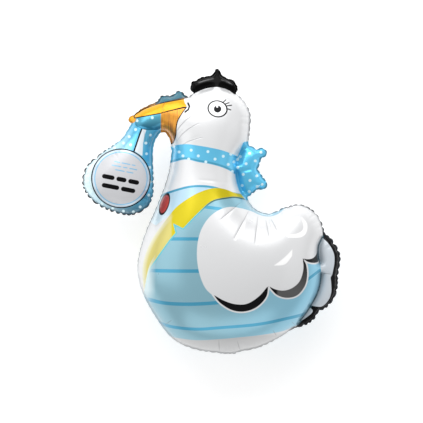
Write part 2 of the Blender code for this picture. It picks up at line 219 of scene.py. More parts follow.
COLLAR_PRINT = (
    [(-16.4, 3.7), (-13.1, 5.2), (-8.9, 6.6), (-5.7, 7.3), (-2.4, 7.4), (0.8, 7.0), (4.0, 6.0)],
    [(-3.8, 4.6)], [(-10.1, 0.4)], [(-15.6, -3.9)], [(-18.5, -2.0)],
)
SASH_PRINT = (
    [(10.6, 4.6), (6.6, 5.2), (4.3, 6.1), (2.0, 6.6), (-0.3, 6.4), (-3.8, 5.2), (-7.1, 3.3), (-10.1, 1.0),
     (-12.4, -1.9), (-14.6, -4.7), (-16.7, -7.9), (-18.3, -11.4), (-19.3, -15.4), (-19.0, -22.9)],
    [(-19.0, -22.9), (-17.5, -16.3), (-15.4, -13.0), (-13.3, -10.0), (-11.4, -7.4), (-10.1, -6.0)],
    [(-10.8, -3.3)],
    [(-8.0, -4.7), (-5.7, -2.3), (-3.4, 0.0), (-0.8, 2.4), (0.8, 3.3), (4.3, 4.0), (6.6, 4.2), (10.6, 3.4)],
)
SHIRT_PRINT = (
    [(4.0, 6.0)], [(10.6, 4.4)], [(14.0, 1.5)], [(24.0, 3.0)], [(32.0, -5.0)],
    TAIL_SEAM_HIGH, TAIL_SEAM_LOW,
    [(23.9, -31.9), (20.1, -33.5), (13.4, -34.7), (7.8, -35.3), (2.4, -35.8), (-4.0, -36.1), (-8.1, -35.7),
     (-11.1, -35.1), (-15.9, -32.3), (-19.5, -27.5)],
    [(-19.0, -22.9), (-17.5, -15.4), (-15.2, -11.0), (-10.1, -2.0), (-3.8, 4.0)],
)
WING_SCALLOPS = (
    [(0.5, -23.3), (3.5, -25.0), (6.7, -26.0), (9.9, -25.9), (13.3, -23.8), (15.9, -20.8)],
    [(15.9, -20.8), (17.8, -21.8), (20.1, -22.2), (22.4, -21.6), (24.5, -19.9), (25.5, -17.6),
     (25.8, -15.2), (25.5, -13.1)],
)
WING_PRINT = (
    [(22.5, 3.0), (20.8, 1.2), (18.6, -0.7), (16.1, -1.4), (13.6, -1.0), (11.4, 0.0), (8.8, 0.8)],
    [(8.8, 0.8), (5.4, 1.3), (2.5, 0.6), (-0.4, -1.4), (-2.7, -4.7), (-3.8, -8.3), (-4.1, -11.9),
     (-3.8, -15.5), (-2.9, -19.0), (-1.5, -21.8), (0.5, -23.7)],
    *WING_SCALLOPS,
    [(25.5, -13.1), (27.0, -13.4), (28.4, -13.1), (29.3, -12.2), (29.7, -11.0), (30.3, -8.6)],
    [(34.0, -4.0)], [(30.0, 4.0)],
)
CRESCENTS = (
    (WING_SCALLOPS[0],
     [(15.9, -20.8), (15.5, -23.6), (13.8, -25.9), (11.6, -27.4), (8.6, -28.1), (5.6, -27.6), (2.4, -25.6),
      (0.5, -23.3)]),
    (WING_SCALLOPS[1],
     [(25.5, -13.1), (26.5, -14.8), (26.8, -18.2), (26.1, -21.0), (24.0, -23.5), (21.2, -24.2), (18.4, -23.4),
      (15.9, -20.8)]),
    ([(25.5, -13.1), (27.0, -13.4), (28.4, -13.1), (29.3, -12.2), (29.7, -11.0), (30.1, -8.8)],
     [(30.6, -9.4), (29.9, -14.0), (28.9, -14.4), (27.0, -14.1), (25.5, -13.1)]),
)
FEATHER_GLINTS = (
    ([(17.4, -15.2), (19.1, -14.0), (21.1, -12.3), (22.7, -10.6)],
     [(22.6, -12.5), (20.6, -14.8), (17.4, -15.2)]),
    ([(25.2, -1.4), (26.8, -3.5), (26.5, -6.1), (25.1, -7.2), (21.4, -7.3)],
     [(20.6, -6.3), (23.9, -6.2), (25.7, -4.9), (25.2, -1.4)]),
)
TAIL_AREA = ([(31.2, -4.0)], [(31.2, -7.0)], TAIL_SEAM_HIGH, TAIL_SEAM_LOW,
             [(22.0, -36.0)], [(42.0, -36.0)], [(42.0, -4.0)])
TAIL_WHITE = (
    [(30.9, -7.2), (31.5, -7.7), (33.1, -9.4), (34.3, -11.7), (34.5, -14.1), (33.9, -17.6)],
    [(33.9, -17.6), (33.4, -18.5)],
    [(33.4, -18.5), (33.6, -20.6), (33.6, -22.6), (32.9, -24.7), (31.0, -26.6), (29.0, -26.6),
     (27.8, -26.3)],
    [(25.9, -28.2)], [(20.0, -27.0)], [(22.0, -8.0)],
)
LOBE_WHITE = ([(26.3, -27.2), (27.8, -27.1), (28.4, -28.0), (26.2, -30.0), (24.8, -30.8)], [(20.0, -31.0)],
              [(20.0, -26.0)])

# Stripes of the shirt: a line and its width
STRIPES = (
    ([(-3.3, 1.5), (2.6, 0.7)], 0.9),
    ([(-13.1, -7.7), (-1.6, -7.7)], 0.95),
    ([(-19.5, -16.5), (-10.0, -16.7), (-1.9, -16.7)], 1.0),
    ([(-21.0, -23.7), (-17.8, -24.6), (-13.7, -25.6), (-7.2, -26.0), (1.3, -25.6), (4.6, -25.1)], 1.0),
    ([(-17.5, -29.8), (-12.8, -31.9), (-9.4, -32.6), (-4.0, -33.0), (2.4, -32.6), (13.4, -31.6),
      (21.2, -30.0), (25.6, -28.9), (28.8, -27.6)], 0.85),
    ([(25.9, -19.9), (30.5, -16.4)], 0.75),
)

# Round marks
DOTS = (
    (-9.1, 16.7), (-8.0, 15.6), (-5.7, 17.2), (-3.7, 15.6), (-1.0, 16.8), (1.0, 14.7), (3.3, 15.5),
    (4.7, 13.2), (-6.4, 14.7), (-1.6, 13.9), (-10.6, 18.2), (5.4, 16.1), (5.9, 11.2), (6.3, 13.9),
    (7.3, 14.6), (10.7, 16.3), (12.3, 14.2), (9.7, 13.4), (8.9, 10.4), (10.8, 8.7), (8.6, 7.3),
    (10.6, 5.6), (12.8, 7.0), (7.4, 12.4), (8.1, 15.4), (12.7, 10.0), (13.9, 16.6), (14.2, 7.6),
    (-20.9, 25.5), (-16.6, 26.3), (-21.3, 23.0), (-23.1, 21.0), (-22.7, 18.7), (-18.4, 19.2),
    (-18.2, 16.2), (-20.0, 1.3), (-21.9, -0.1), (-24.7, 19.2), (-27.2, 17.9), (-17.1, 21.4),
    (-17.3, 12.4), (-17.2, 8.3), (-17.6, 4.6), (-24.7, 0.1), (-27.7, 0.9), (-30.7, 2.2), (-33.3, 4.4),
    (-34.8, 7.2), (-35.1, 10.4), (-33.2, 13.5), (-30.2, 16.0), (-19.6, 21.3), (-25.9, 20.0),
)
DOT_RADIUS = 0.40

# Badge: rows of plain dashes by height, width, ink and the ends of each dash
BADGE_CENTRE = (-25.4, 9.3)
BADGE_RADIUS = 8.2
BADGE_LINE_RADIUS = 7.35
BADGE_TILT = math.radians(-11.0)
BADGE_ROWS = (
    (4.3, 0.28, "thread", ((-2.6, -1.2), (-0.5, 1.7), (2.4, 3.2))),
    (3.2, 0.28, "thread", ((-3.1, -0.7), (0.1, 1.1), (1.9, 3.9))),
    (2.1, 0.28, "thread", ((-1.9, 0.5), (1.3, 3.0))),
    (-0.3, 1.25, "black", ((-4.7, -2.4), (-0.6, 1.0), (2.8, 4.6))),
    (-2.8, 1.25, "black", ((-4.3, -0.6), (1.2, 4.0))),
)
EYE_CENTRE = (1.7, 28.8)
EYE_RADII = (2.69, 2.24)
EYE_TILT = math.radians(-12.0)
PUPIL_CENTRE = (1.7, 28.75)
PUPIL_RADII = (1.08, 1.0)
PUPIL_GLINT = ((1.6, 29.4), 0.28)
BEAK_TIP = (-22.3, 25.9)
BUTTON_CENTRE = (-13.2, 2.1)
BUTTON_RADII = (2.9, 1.15)
BUTTON_TILT = math.radians(72.0)

# Thin strokes: the points of each one
LASHES = (((3.1, 30.5), (4.0, 31.3)), ((3.6, 30.1), (4.9, 30.5)), ((4.0, 29.6), (5.6, 29.8)),
          ((4.2, 28.9), (5.4, 28.5)))
SMILE = ((-6.6, 30.4), (-6.2, 29.5), (-6.5, 28.6), (-7.4, 27.9))
CHEEK = ((-7.5, 31.8), (-6.3, 32.3))
STRAP_LINE = ((-19.6, 23.1), (-20.3, 21.2), (-20.9, 19.4), (-21.7, 17.0))
BEAK_FOLD = ((-13.1, 30.6), (-13.7, 29.3), (-13.5, 27.8))
# Painted highlights along the beret's top, one on each side of its stalk
BERET_HIGHLIGHTS = (((-3.6, 36.2), (-1.6, 36.8), (0.4, 37.3)), ((2.9, 36.9), (4.4, 36.5), (5.8, 35.6)))

# Finish of each ink: how much of the metal shows through it, and the weight of the clear film's gloss
FINISHES = {
    "white": (0.22, 0.40), "black": (0.90, 0.05), "shirt": (0.42, 0.32), "stripe": (0.50, 0.30),
    "collar": (0.35, 0.30), "sky": (0.50, 0.22), "knot": (0.65, 0.25), "crest": (0.60, 0.25),
    "yellow": (0.48, 0.08), "beak": (0.45, 0.06), "pouch": (0.60, 0.20), "teal": (0.40, 0.30),
    "red": (0.45, 0.30), "silver": (0.06, 0.12), "dot": (0.20, 0.35), "pale": (0.30, 0.40),
    "rust": (0.60, 0.20), "glint": (0.0, 0.50), "thread": (0.30, 0.20),
}

# Shades that an ink takes in one place only, several of them painted highlight, reflection or shade
SHADES = {
    "base_painted_shade": (0.52, 0.525, 0.53), "far_shirt": (0.26, 0.57, 0.74), "near_collar": (0.72, 0.86, 0.93),
    "deep_teal": (0.03, 0.13, 0.12), "sash_ground": (0.80, 0.82, 0.72), "flank_painted_reflection": (0.78, 0.90, 0.92),
    "crescent_sheen": (0.13, 0.13, 0.13), "rim_painted_highlight": (0.92, 0.95, 0.97), "tail_grey": (0.60, 0.65, 0.70),
    "seam_shade": (0.04, 0.14, 0.20), "seam_shadow_line": (0.01, 0.02, 0.03), "bow_blue": (0.12, 0.58, 0.88),
    "cloth_blue": (0.10, 0.46, 0.70), "cloth_foot": (0.03, 0.13, 0.20), "strap_white": (0.80, 0.88, 0.93),
    "knot_foot": (0.01, 0.16, 0.28), "badge_ground": (0.58, 0.70, 0.80), "beak_shadow": (0.10, 0.045, 0.02),
    "crest_line": (0.01, 0.03, 0.04), "eye_white": (0.84, 0.84, 0.85), "beret_black": (0.001, 0.001, 0.001),
    "beret_highlight_glow": (0.030, 0.030, 0.031), "beret_highlight_core": (0.075, 0.075, 0.077), "hem_dark": (0.04, 0.045, 0.055),
    "hairline_painted_shade": (0.10, 0.11, 0.12),
}
BUMP_HEIGHT = 0.0012

# Soft boxes: name, setting of its power, place from the balloon's middle, and its two sides
SOFT_BOXES = (
    ("key_box", "key_power", (-0.2, 2.2, 1.5), (3.6, 2.2)),
    ("left_box", "left_power", (-2.4, 0.3, 1.4), (2.8, 2.0)),
    ("right_box", "right_power", (2.6, 0.0, 1.4), (2.6, 1.6)),
    ("low_strip", "low_power", (0.0, -2.6, 1.25), (3.8, 1.3)),
)


def metres(name, description, default):
    """Length that a user may change."""
    return FloatProperty(name=name, description=description, default=default, min=0.0, unit="LENGTH")


def number(name, description, default):
    """Plain number that a user may change."""
    return FloatProperty(name=name, description=description, default=default, min=0.0)


def paint_colour(name, description, default):
    """Colour that a user may change."""
    return FloatVectorProperty(name=name, description=description, subtype="COLOR", default=default)


class BalloonSizes(bpy.types.PropertyGroup):
    """Sizes of the balloon that a user may change."""

    height: metres("Height", "Beret tip to base", 0.8)
    fullness: number("Fullness", "How far the gas lifts the sheets, against a tube of round section", 0.85)
    hem_width: metres("Hem width", "Width of the weld round the outline", 0.005)
    hem_thickness: metres("Hem thickness", "Thickness of the welded sheets", 0.0012)
    rest_depth: metres("Flat spot", "How much of the belly is pressed flat by the floor", 0.011)
    pucker_length: metres("Pucker length", "Mean distance between two puckers at the hem", 0.0175)
    pucker_depth: number("Pucker depth", "Share of the lift that a deep pucker takes away at the hem", 0.60)
    pucker_reach: metres("Pucker reach", "How far a pucker runs into the sheet", 0.013)
    scallop: metres("Scallop", "How far a pucker draws the hem's edge in", 0.0095)
    ruffle: metres("Ruffle", "How far the hem waves up and down", 0.0022)
    seam_width: metres("Seam width", "Half width of the short seams", 0.003)
    field_step: metres("Field step", "Step of the grid that the lift is solved on", 0.0025)
    ring_step: metres("Ring step", "Spacing of the mesh along the outline", 0.0028)
    sheet_step: metres("Sheet step", "Spacing of the mesh inside the outline", 0.0030)


class BalloonInks(bpy.types.PropertyGroup):
    """Colours of the foil and of its print."""

    white: paint_colour("White", "White ink", (0.745, 0.75, 0.76))
    black: paint_colour("Black", "Black ink", (0.006, 0.006, 0.007))
    shirt: paint_colour("Shirt", "Pale blue ink", (0.255, 0.475, 0.565))
    stripe: paint_colour("Stripe", "Mid blue ink", (0.06, 0.34, 0.52))
    collar: paint_colour("Collar", "Lightest blue ink", (0.44, 0.64, 0.77))
    sky: paint_colour("Scarf", "Sky blue ink", (0.13, 0.56, 0.84))
    pale: paint_colour("Pale bundle", "Bundle's pale side", (0.74, 0.93, 0.98))
    knot: paint_colour("Knot", "Deep blue ink", (0.10, 0.40, 0.54))
    crest: paint_colour("Crest", "Teal ink", (0.022, 0.150, 0.215))
    yellow: paint_colour("Sash", "Lemon ink", (0.62, 0.51, 0.0))
    beak: paint_colour("Beak", "Warm yellow ink", (0.84, 0.40, 0.003))
    pouch: paint_colour("Pouch", "Amber ink", (0.74, 0.32, 0.03))
    rust: paint_colour("Rust", "Brown ink", (0.40, 0.14, 0.03))
    teal: paint_colour("Piping", "Teal ink", (0.12, 0.50, 0.56))
    red: paint_colour("Button", "Red ink", (0.55, 0.05, 0.035))
    silver: paint_colour("Silver", "Grey ink", (0.60, 0.605, 0.63))
    dot: paint_colour("Dots", "Pale dots", (0.66, 0.88, 0.95))
    glint: paint_colour("Glints", "Bright white", (1.0, 1.0, 1.0))
    thread: paint_colour("Dashes", "Badge's light blue dashes", (0.22, 0.52, 0.76))


class StudioSettings(bpy.types.PropertyGroup):
    """Floor, lights and camera."""

    frame_side: metres("Frame side", "Side of the square picture at the seam", 1.1865)
    camera_distance: metres("Camera distance", "From the seam to the camera", 5.0)
    floor_side: metres("Floor side", "Side of the floor", 24.0)
    floor_colour: paint_colour("Floor", "Floor paint", (0.70, 0.70, 0.70))
    floor_glow: number("Floor glow", "Light that comes up through the floor", 0.46)
    sky_strength: number("Sky", "Strength of the even light", 0.56)
    key_power: number("Key light", "Soft box beyond the beret, in watts", 66.0)
    left_power: number("Left light", "Soft box on the badge's side, in watts", 15.0)
    right_power: number("Right light", "Soft box on the tail's side, in watts", 4.0)
    low_power: number("Low light", "Strip box beyond the base, in watts", 15.0)


# Lines and distances

def smooth_line(points, closed, steps=8):
    """Smooth line through points.

    Each stretch is a cubic whose slope at a point runs between its neighbours, with the points spaced by the
    square root of their distance. An open line starts and ends with its outer stretches.
    """
    p = np.array(points, dtype=float)
    if not closed:
        if len(p) < 3:
            return p
        p = np.vstack([2 * p[0] - p[1], p, 2 * p[-1] - p[-2]])
    before, after, beyond = np.roll(p, 1, 0), np.roll(p, -1, 0), np.roll(p, -2, 0)
    g0, g1, g2 = [np.sqrt(np.linalg.norm(b - a, axis=1))[:, None] for a, b in
                  ((before, p), (p, after), (after, beyond))]
    leave = g1 * ((p - before) / g0 - (after - before) / (g0 + g1) + (after - p) / g1)
    arrive = g1 * ((after - p) / g1 - (beyond - p) / (g1 + g2) + (beyond - after) / g2)
    t = (np.arange(steps) / steps)[None, :, None]
    p, after, leave, arrive = p[:, None], after[:, None], leave[:, None], arrive[:, None]
    line = ((2 * t**3 - 3 * t**2 + 1) * p + (t**3 - 2 * t**2 + t) * leave
            + (3 * t**2 - 2 * t**3) * after + (t**3 - t**2) * arrive)
    if closed:
        return line.reshape(-1, 2)
    return np.vstack([line[1:-2].reshape(-1, 2), p[-2]])


def region_loop(stretches):
    """Closed line made of smooth stretches that meet at corners."""
    return np.vstack([smooth_line(stretch, False) for stretch in stretches])


def along_segment(x, y, a, b):
    """Distance to the straight line from a to b, and how far along it the nearest place is, from 0 to 1."""
    dx, dy = b[0] - a[0], b[1] - a[1]
    t = np.clip(((x - a[0]) * dx + (y - a[1]) * dy) / max(dx * dx + dy * dy, 1e-12), 0.0, 1.0)
    return np.hypot(x - a[0] - t * dx, y - a[1] - t * dy), t


def loop_distance(x, y, loop):
    """Signed distance to a closed line, below zero inside it."""
    nearest = np.full(x.shape, np.inf)
    inside = np.zeros(x.shape, dtype=bool)
    for a, b in zip(loop, np.roll(loop, -1, 0)):
        nearest = np.minimum(nearest, along_segment(x, y, a, b)[0])
        if a[1] != b[1]:
            crosses = (a[1] > y) != (b[1] > y)
            inside ^= crosses & (x < a[0] + (y - a[1]) * (b[0] - a[0]) / (b[1] - a[1]))
    return np.where(inside, -nearest, nearest)


def line_distance(x, y, line):
    """Distance to an open line."""
    return np.min([along_segment(x, y, a, b)[0] for a, b in zip(line[:-1], line[1:])], axis=0)


def chain_distance(x, y, discs):
    """Signed distance to a chain of discs that is filled out between each disc and the next."""
    rows = np.array(discs)
    nearest = np.full(x.shape, np.inf)
    for a, b in zip(rows[:-1], rows[1:]):
        gap, t = along_segment(x, y, a, b)
        nearest = np.minimum(nearest, gap - a[2] - t * (b[2] - a[2]))
    return nearest


def join(a, b, radius):
    """Union of two signed distances, with its inner corners rounded."""
    blend = np.maximum(radius - np.abs(a - b), 0.0)
    return np.minimum(a, b) - blend * blend / (4.0 * radius)


def soft_step(low, high, value):
    """Zero below low, one above high and a smooth cubic between them."""
    t = np.clip((value - low) / (high - low), 0.0, 1.0)
    return t * t * (3.0 - 2.0 * t)


def arch(t):
    """Round arch over the way from 0 to 1: zero at both ends and one in the middle."""
    return np.sqrt(np.clip(4.0 * t * (1.0 - t), 0.0, 1.0))


def square_side(sizes):
    """Side of one square in metres."""
    return sizes.height / SQUARES


def weld_level(sizes):
    """Height of the weld plane over the floor.

    The front rises as far over it as the back would reach below it, and the floor presses the flat spot's
    depth back.
    """
    return (SKIN_HIGH.z - sizes.rest_depth) / 2.0


class Lift:
    """Fields of the flat pattern on a grid, in squares: the distance to the outline and the sheet's lift.

    The lift is the fullness times the square root of twice the sag of a membrane that is fixed at the hem and
    sprung down along the short seams. The sag is solved by conjugate gradients.
    """

    reach = 42.0
    seam_pull = 40.0
    shortest_link = 0.02
    error_goal = 1e-11

    def __init__(self, sizes):
        self.square = square_side(sizes)
        self.step = sizes.field_step / self.square
        self.hem = sizes.hem_width / self.square
        self.fullness = sizes.fullness
        self.axis = np.arange(-self.reach, self.reach + self.step, self.step)
        x, y = np.meshgrid(self.axis, self.axis, indexing="ij")
        lobes = [loop_distance(x, y, smooth_line(lobe, True)) for lobe in LARGE_LOBES + SMALL_LOBES]
        lobes += [chain_distance(x, y, chain) for chain in CHAINS]
        self.gap = lobes[0]
        for lobe in lobes[1:]:
            self.gap = join(self.gap, lobe, CORNER_RADIUS)
        ring, length = self.outline(0.5 * self.step)
        apart = to_outline(np.stack([x.ravel(), y.ravel()], axis=1), ring, length)[1].reshape(x.shape)
        self.gap = np.where(self.gap < 0.0, -apart, apart)
        hold = np.zeros(x.shape)
        for seam in SEAMS:
            near = line_distance(x, y, np.array(seam)) / (sizes.seam_width / self.square)
            hold = np.maximum(hold, self.seam_pull * np.exp(-near * near))
        inner = self.gap + self.hem
        self.sag = self.solve(inner, hold)
        ratio = self.sag / np.maximum(-inner, 1e-9)
        self.ratio = self.spread(np.where(inner < -0.1 * self.step, ratio, np.nan))

    def solve(self, gap, hold):
        """Sag for an even load of one. A neighbour past the outline counts where the outline is crossed."""
        inside = gap < 0.0
        weight = hold * self.step**2
        links = []
        for axis in (0, 1):
            for step in (1, -1):
                other = np.roll(gap, step, axis)
                linked = inside & (other < 0.0)
                share = np.clip(gap / np.where(other == gap, 1.0, gap - other), self.shortest_link, 1.0)
                weight = weight + np.where(linked, 1.0, 1.0 / share)
                links.append((axis, step, linked))
        sag = np.zeros(gap.shape)
        left = np.where(inside, self.step**2, 0.0)
        way = left / weight
        worth = np.sum(left * way)
        goal = self.error_goal * worth
        while worth > goal:
            pulled = weight * way
            for axis, step, linked in links:
                pulled -= linked * np.roll(way, step, axis)
            pulled = np.where(inside, pulled, 0.0)
            stride = worth / np.sum(way * pulled)
            sag += stride * way
            left -= stride * pulled
            eased = left / weight
            new_worth = np.sum(left * eased)
            way = eased + (new_worth / worth) * way
            worth = new_worth
        return sag

    @staticmethod
    def spread(table, rounds=5):
        """Fills the places without a value from their neighbours, a few places deep."""
        for _ in range(rounds):
            total, count = np.zeros(table.shape), np.zeros(table.shape)
            for axis in (0, 1):
                for step in (1, -1):
                    other = np.roll(table, step, axis)
                    good = np.isfinite(other)
                    total += np.where(good, other, 0.0)
                    count += good
            mean = np.where(count > 0, total / np.maximum(count, 1), np.nan)
            table = np.where(np.isfinite(table), table, mean)
        return np.nan_to_num(table)

    def read(self, table, x, y):
        """Value of a table at any places, straight between the grid's points."""
        i, j = (x - self.axis[0]) / self.step, (y - self.axis[0]) / self.step
        i0, j0 = np.floor(i).astype(int), np.floor(j).astype(int)
        i, j = i - i0, j - j0
        low = table[i0, j0] * (1 - j) + table[i0, j0 + 1] * j
        high = table[i0 + 1, j0] * (1 - j) + table[i0 + 1, j0 + 1] * j
        return low * (1 - i) + high * i

    def depth(self, x, y):
        """Distance inside the outline."""
        return -self.read(self.gap, x, y)

    def lift(self, x, y):
        """Height of the sheet over the weld plane: near the hem the sag is the depth times a smooth ratio."""
        depth = np.maximum(self.depth(x, y) - self.hem, 0.0)
        near = self.read(self.ratio, x, y) * depth
        deep = self.read(self.sag, x, y)
        share = soft_step(2.0 * self.step, 4.0 * self.step, depth)
        return self.fullness * np.sqrt(2.0 * np.maximum(near * (1.0 - share) + deep * share, 0.0))

    def slope(self, x, y):
        """Direction straight out of the outline."""
        e = 0.5 * self.step
        gx = self.read(self.gap, x + e, y) - self.read(self.gap, x - e, y)
        gy = self.read(self.gap, x, y + e) - self.read(self.gap, x, y - e)
        size = np.maximum(np.hypot(gx, gy), 1e-9)
        return gx / size, gy / size

    def outline(self, spacing):
        """Points at even steps along the outline, traced from cell to cell of the grid."""
        f = self.gap
        below = f < 0.0
        count = below[:-1, :-1].astype(int) + below[1:, :-1] + below[1:, 1:] + below[:-1, 1:]
        ends = {}
        for i, j in zip(*np.nonzero((count > 0) & (count < 4))):
            corners = ((i, j), (i + 1, j), (i + 1, j + 1), (i, j + 1))
            sides = zip(corners, corners[1:] + corners[:1])
            cuts = [frozenset(side) for side in sides if below[side[0]] != below[side[1]]]
            for a, b in zip(cuts[0::2], cuts[1::2]):
                ends.setdefault(a, []).append(b)
                ends.setdefault(b, []).append(a)
        longest = []
        while ends:
            edge, line = next(iter(ends)), []
            while edge in ends:
                a, b = sorted(edge)
                t = f[a] / (f[a] - f[b])
                line.append([self.axis[a[k]] * (1 - t) + self.axis[b[k]] * t for k in (0, 1)])
                edge = next((other for other in ends.pop(edge) if other in ends), None)
            longest = max(longest, line, key=len)
        closed = np.array(longest + longest[:1])
        run = np.concatenate([[0.0], np.cumsum(np.linalg.norm(np.diff(closed, axis=0), axis=1))])
        at = np.arange(round(run[-1] / spacing)) * run[-1] / round(run[-1] / spacing)
        return np.stack([np.interp(at, run, closed[:, 0]), np.interp(at, run, closed[:, 1])], axis=1), run[-1]


def to_outline(points, outline, length):
    """Length along the outline to its nearest place, and the distance to it, for each point."""
    run, apart = np.empty(len(points)), np.empty(len(points))
    square = np.sum(outline * outline, axis=1)
    for first in range(0, len(points), 4096):
        part = points[first:first + 4096]
        near = np.argmin(square - 2.0 * part @ outline.T, axis=1)
        best = np.full(len(part), np.inf)
        place = np.zeros(len(part))
        for turn in (-1, 1):
            way = outline[(near + turn) % len(outline)] - outline[near]
            t = np.clip(np.sum((part - outline[near]) * way, axis=1) / np.sum(way * way, axis=1), 0.0, 1.0)
            gap = np.linalg.norm(part - outline[near] - t[:, None] * way, axis=1)
            place = np.where(gap < best, near + turn * t, place)
            best = np.minimum(gap, best)
        run[first:first + 4096] = place * length / len(outline)
        apart[first:first + 4096] = best
    return run, apart


def flat_mesh(field, sizes):
    """Flat triangulation of the sheet: rings that follow the outline inwards, then an even lattice.

    The rings lie close together at the hem and ever wider apart inside it. A place of a ring that falls near
    another lobe's hem, or crowds its neighbour, is left out. Returns the places, the triangles, the number of
    places on the outline, which come first, the outline itself and its length.
    """
    ring, length = field.outline(sizes.ring_step / field.square)
    out_x, out_y = field.slope(ring[:, 0], ring[:, 1])
    hem = field.hem
    depths = [0.3 * hem, 0.65 * hem, hem] + [hem + 0.11 * k * k for k in (0.5, 1.0, 1.7, 2.5, 3.4)]
    places = [ring]
    for depth in depths:
        moved = ring - depth * np.stack([out_x, out_y], axis=1)
        true_depth = field.depth(moved[:, 0], moved[:, 1])
        apart = np.linalg.norm(moved - np.roll(moved, 1, 0), axis=1)
        good = (np.abs(true_depth - depth) < 0.03) & (apart > 0.4 * sizes.ring_step / field.square)
        places.append(moved[good])
    step = sizes.sheet_step / field.square
    rows = np.arange(-field.reach + step, field.reach - step, step * math.sqrt(0.75))
    columns = np.arange(-field.reach + step, field.reach - 2 * step, step)
    x, y = np.meshgrid(columns, rows, indexing="ij")
    x = (x + np.where(np.arange(len(rows)) % 2, step / 2.0, 0.0)).ravel()
    y = y.ravel()
    keep = field.depth(x, y) > depths[-1] + 0.6 * step
    places.append(np.stack([x[keep], y[keep]], axis=1))
    flat = np.vstack(places)
    count = len(ring)
    edges = [(k, (k + 1) % count) for k in range(count)]
    result = delaunay_2d_cdt([Vector(p) for p in flat.tolist()], edges, [list(range(count))], 1, 1e-6)
    return np.array([tuple(v) for v in result[0]]), np.array(result[2]), count, ring, length


def hem_strengths(x, y):
    """How strongly the hem puckers at each place, and how strong the painted shadow at its edge is."""
    live, dark = np.full(x.shape, CALM_PUCKER), np.zeros(x.shape)
    for cx, cy, radius, pucker, edge in HEM_PLACES:
        share = soft_step(0.0, 0.35, 1.0 - np.hypot(x - cx, y - cy) / radius)
        live = np.maximum(live, pucker * share)
        dark = np.maximum(dark, edge * share)
    return live, dark


def pucker_waves(run, depth, length, sizes):
    """Puckers at the hem: valleys at uneven steps along the outline, each with its own depth and reach.

    Returns how deep the valleys are at each place, from 0 to 1, and the phase they follow.
    """
    count = round(length * square_side(sizes) / sizes.pucker_length)
    turn = 2.0 * math.pi * run / length
    phase = count * run / length
    for size, times, start in PUCKER_WANDER:
        phase = phase + size * np.sin(times * turn + start)
    draws = np.random.default_rng(11)
    strength = draws.uniform(0.35, 1.0, count + 4)
    reach = draws.uniform(0.5, 1.25, count + 4) * sizes.pucker_reach / square_side(sizes)
    nearest = np.round(phase).astype(int) % count
    bulge = np.abs(np.sin(math.pi * phase)) ** 0.7
    valley = (1.0 - bulge) * strength[nearest] * np.exp(-(np.maximum(depth, 0.0) / reach[nearest]) ** 1.4)
    return valley, phase


def crease_depth(x, y):
    """Depth of the pressed creases: a narrow round groove along each line that fades towards its ends."""
    groove = np.zeros(x.shape)
    for a, b, depth, width in CREASES:
        gap, t = along_segment(x, y, a, b)
        groove += depth * np.exp(-np.square(gap / width)) * arch(t)
    return groove


def filled_sheets(field, sizes, x, y, depth, run, length):
    """Places of both sheets, in squares from the weld plane, and the hem's strengths and phase.

    Height over the weld plane is the membrane's lift, less the puckers' share near the hem, less the creases.
    The front sheet takes it upwards and the back sheet downwards, and the hem's ruffle moves both together.
    The puckers also draw the hem in.
    """
    side = square_side(sizes)
    valley, phase = pucker_waves(run, depth, length, sizes)
    live, dark = hem_strengths(x, y)
    rise = np.clip(depth / field.hem, 0.0, 1.0) * sizes.hem_thickness / side / 2.0
    half = field.lift(x, y) * (1.0 - sizes.pucker_depth * live * valley) + rise
    groove = np.minimum(crease_depth(x, y), 0.5 * half)
    wave = live * np.sin(math.pi * phase + 0.6 * np.sin(7.0 * run)) * np.exp(-depth / (1.2 * field.hem))
    ruffle = sizes.ruffle / side * wave
    draw = sizes.scallop / side * live * (valley - 0.25) * np.exp(-depth / (1.5 * field.hem))
    out_x, out_y = field.slope(x, y)
    places = (x - draw * out_x, y - draw * out_y, ruffle + half - groove, ruffle - half + 0.6 * groove)
    return places, (live, dark, phase)


def print_fields(x, y):
    """Signed distances in squares to the regions of the print, for each place of the sheet."""
    def nearest(regions):
        return np.min([loop_distance(x, y, region_loop(region)) for region in regions], axis=0)

    def nearest_line(lines):
        return np.min([line_distance(x, y, smooth_line(line, False)) for line in lines], axis=0)

    fields = {name: nearest([region]) for name, region in (
        ("beret", BERET_PRINT), ("beak", BEAK_PRINT), ("beak_band", BEAK_BAND), ("pouch", POUCH_PRINT),
        ("crest", CREST_PRINT), ("knot", KNOT_PRINT), ("strap", STRAP_PRINT), ("scarf", SCARF_PRINT),
        ("bow", BOW_PRINT), ("collar", COLLAR_PRINT), ("sash", SASH_PRINT), ("shirt", SHIRT_PRINT),
        ("wing", WING_PRINT), ("tail", TAIL_AREA))}
    fields["bundle"] = np.maximum(loop_distance(x, y, smooth_line(BUNDLE, True)) - 0.8, x + 14.2)
    fields["crescent"] = nearest(CRESCENTS)
    fields["glint"] = nearest(FEATHER_GLINTS)
    fields["tail_edge"] = np.maximum(fields["tail"], -nearest((TAIL_WHITE, LOBE_WHITE)))
    fields["sash_fade"] = nearest_line([SASH_PRINT[0]])
    # Distance to the tail's seams, which carry painted shade
    fields["seam"] = nearest_line([TAIL_SEAM_HIGH, TAIL_SEAM_LOW])
    fields["stripe"] = np.min([nearest_line([line]) - width / 2.0 for line, width in STRIPES], axis=0)
    return fields


def dot_offsets(x, y):
    """Offset to the nearest dot and its distance, for each place."""
    offset = np.zeros((len(x), 3))
    offset[:, 2] = np.inf
    for cx, cy in DOTS:
        gap = np.hypot(x - cx, y - cy)
        near = gap < offset[:, 2]
        offset[near] = np.stack([x - cx, y - cy, gap], axis=1)[near]
    return offset


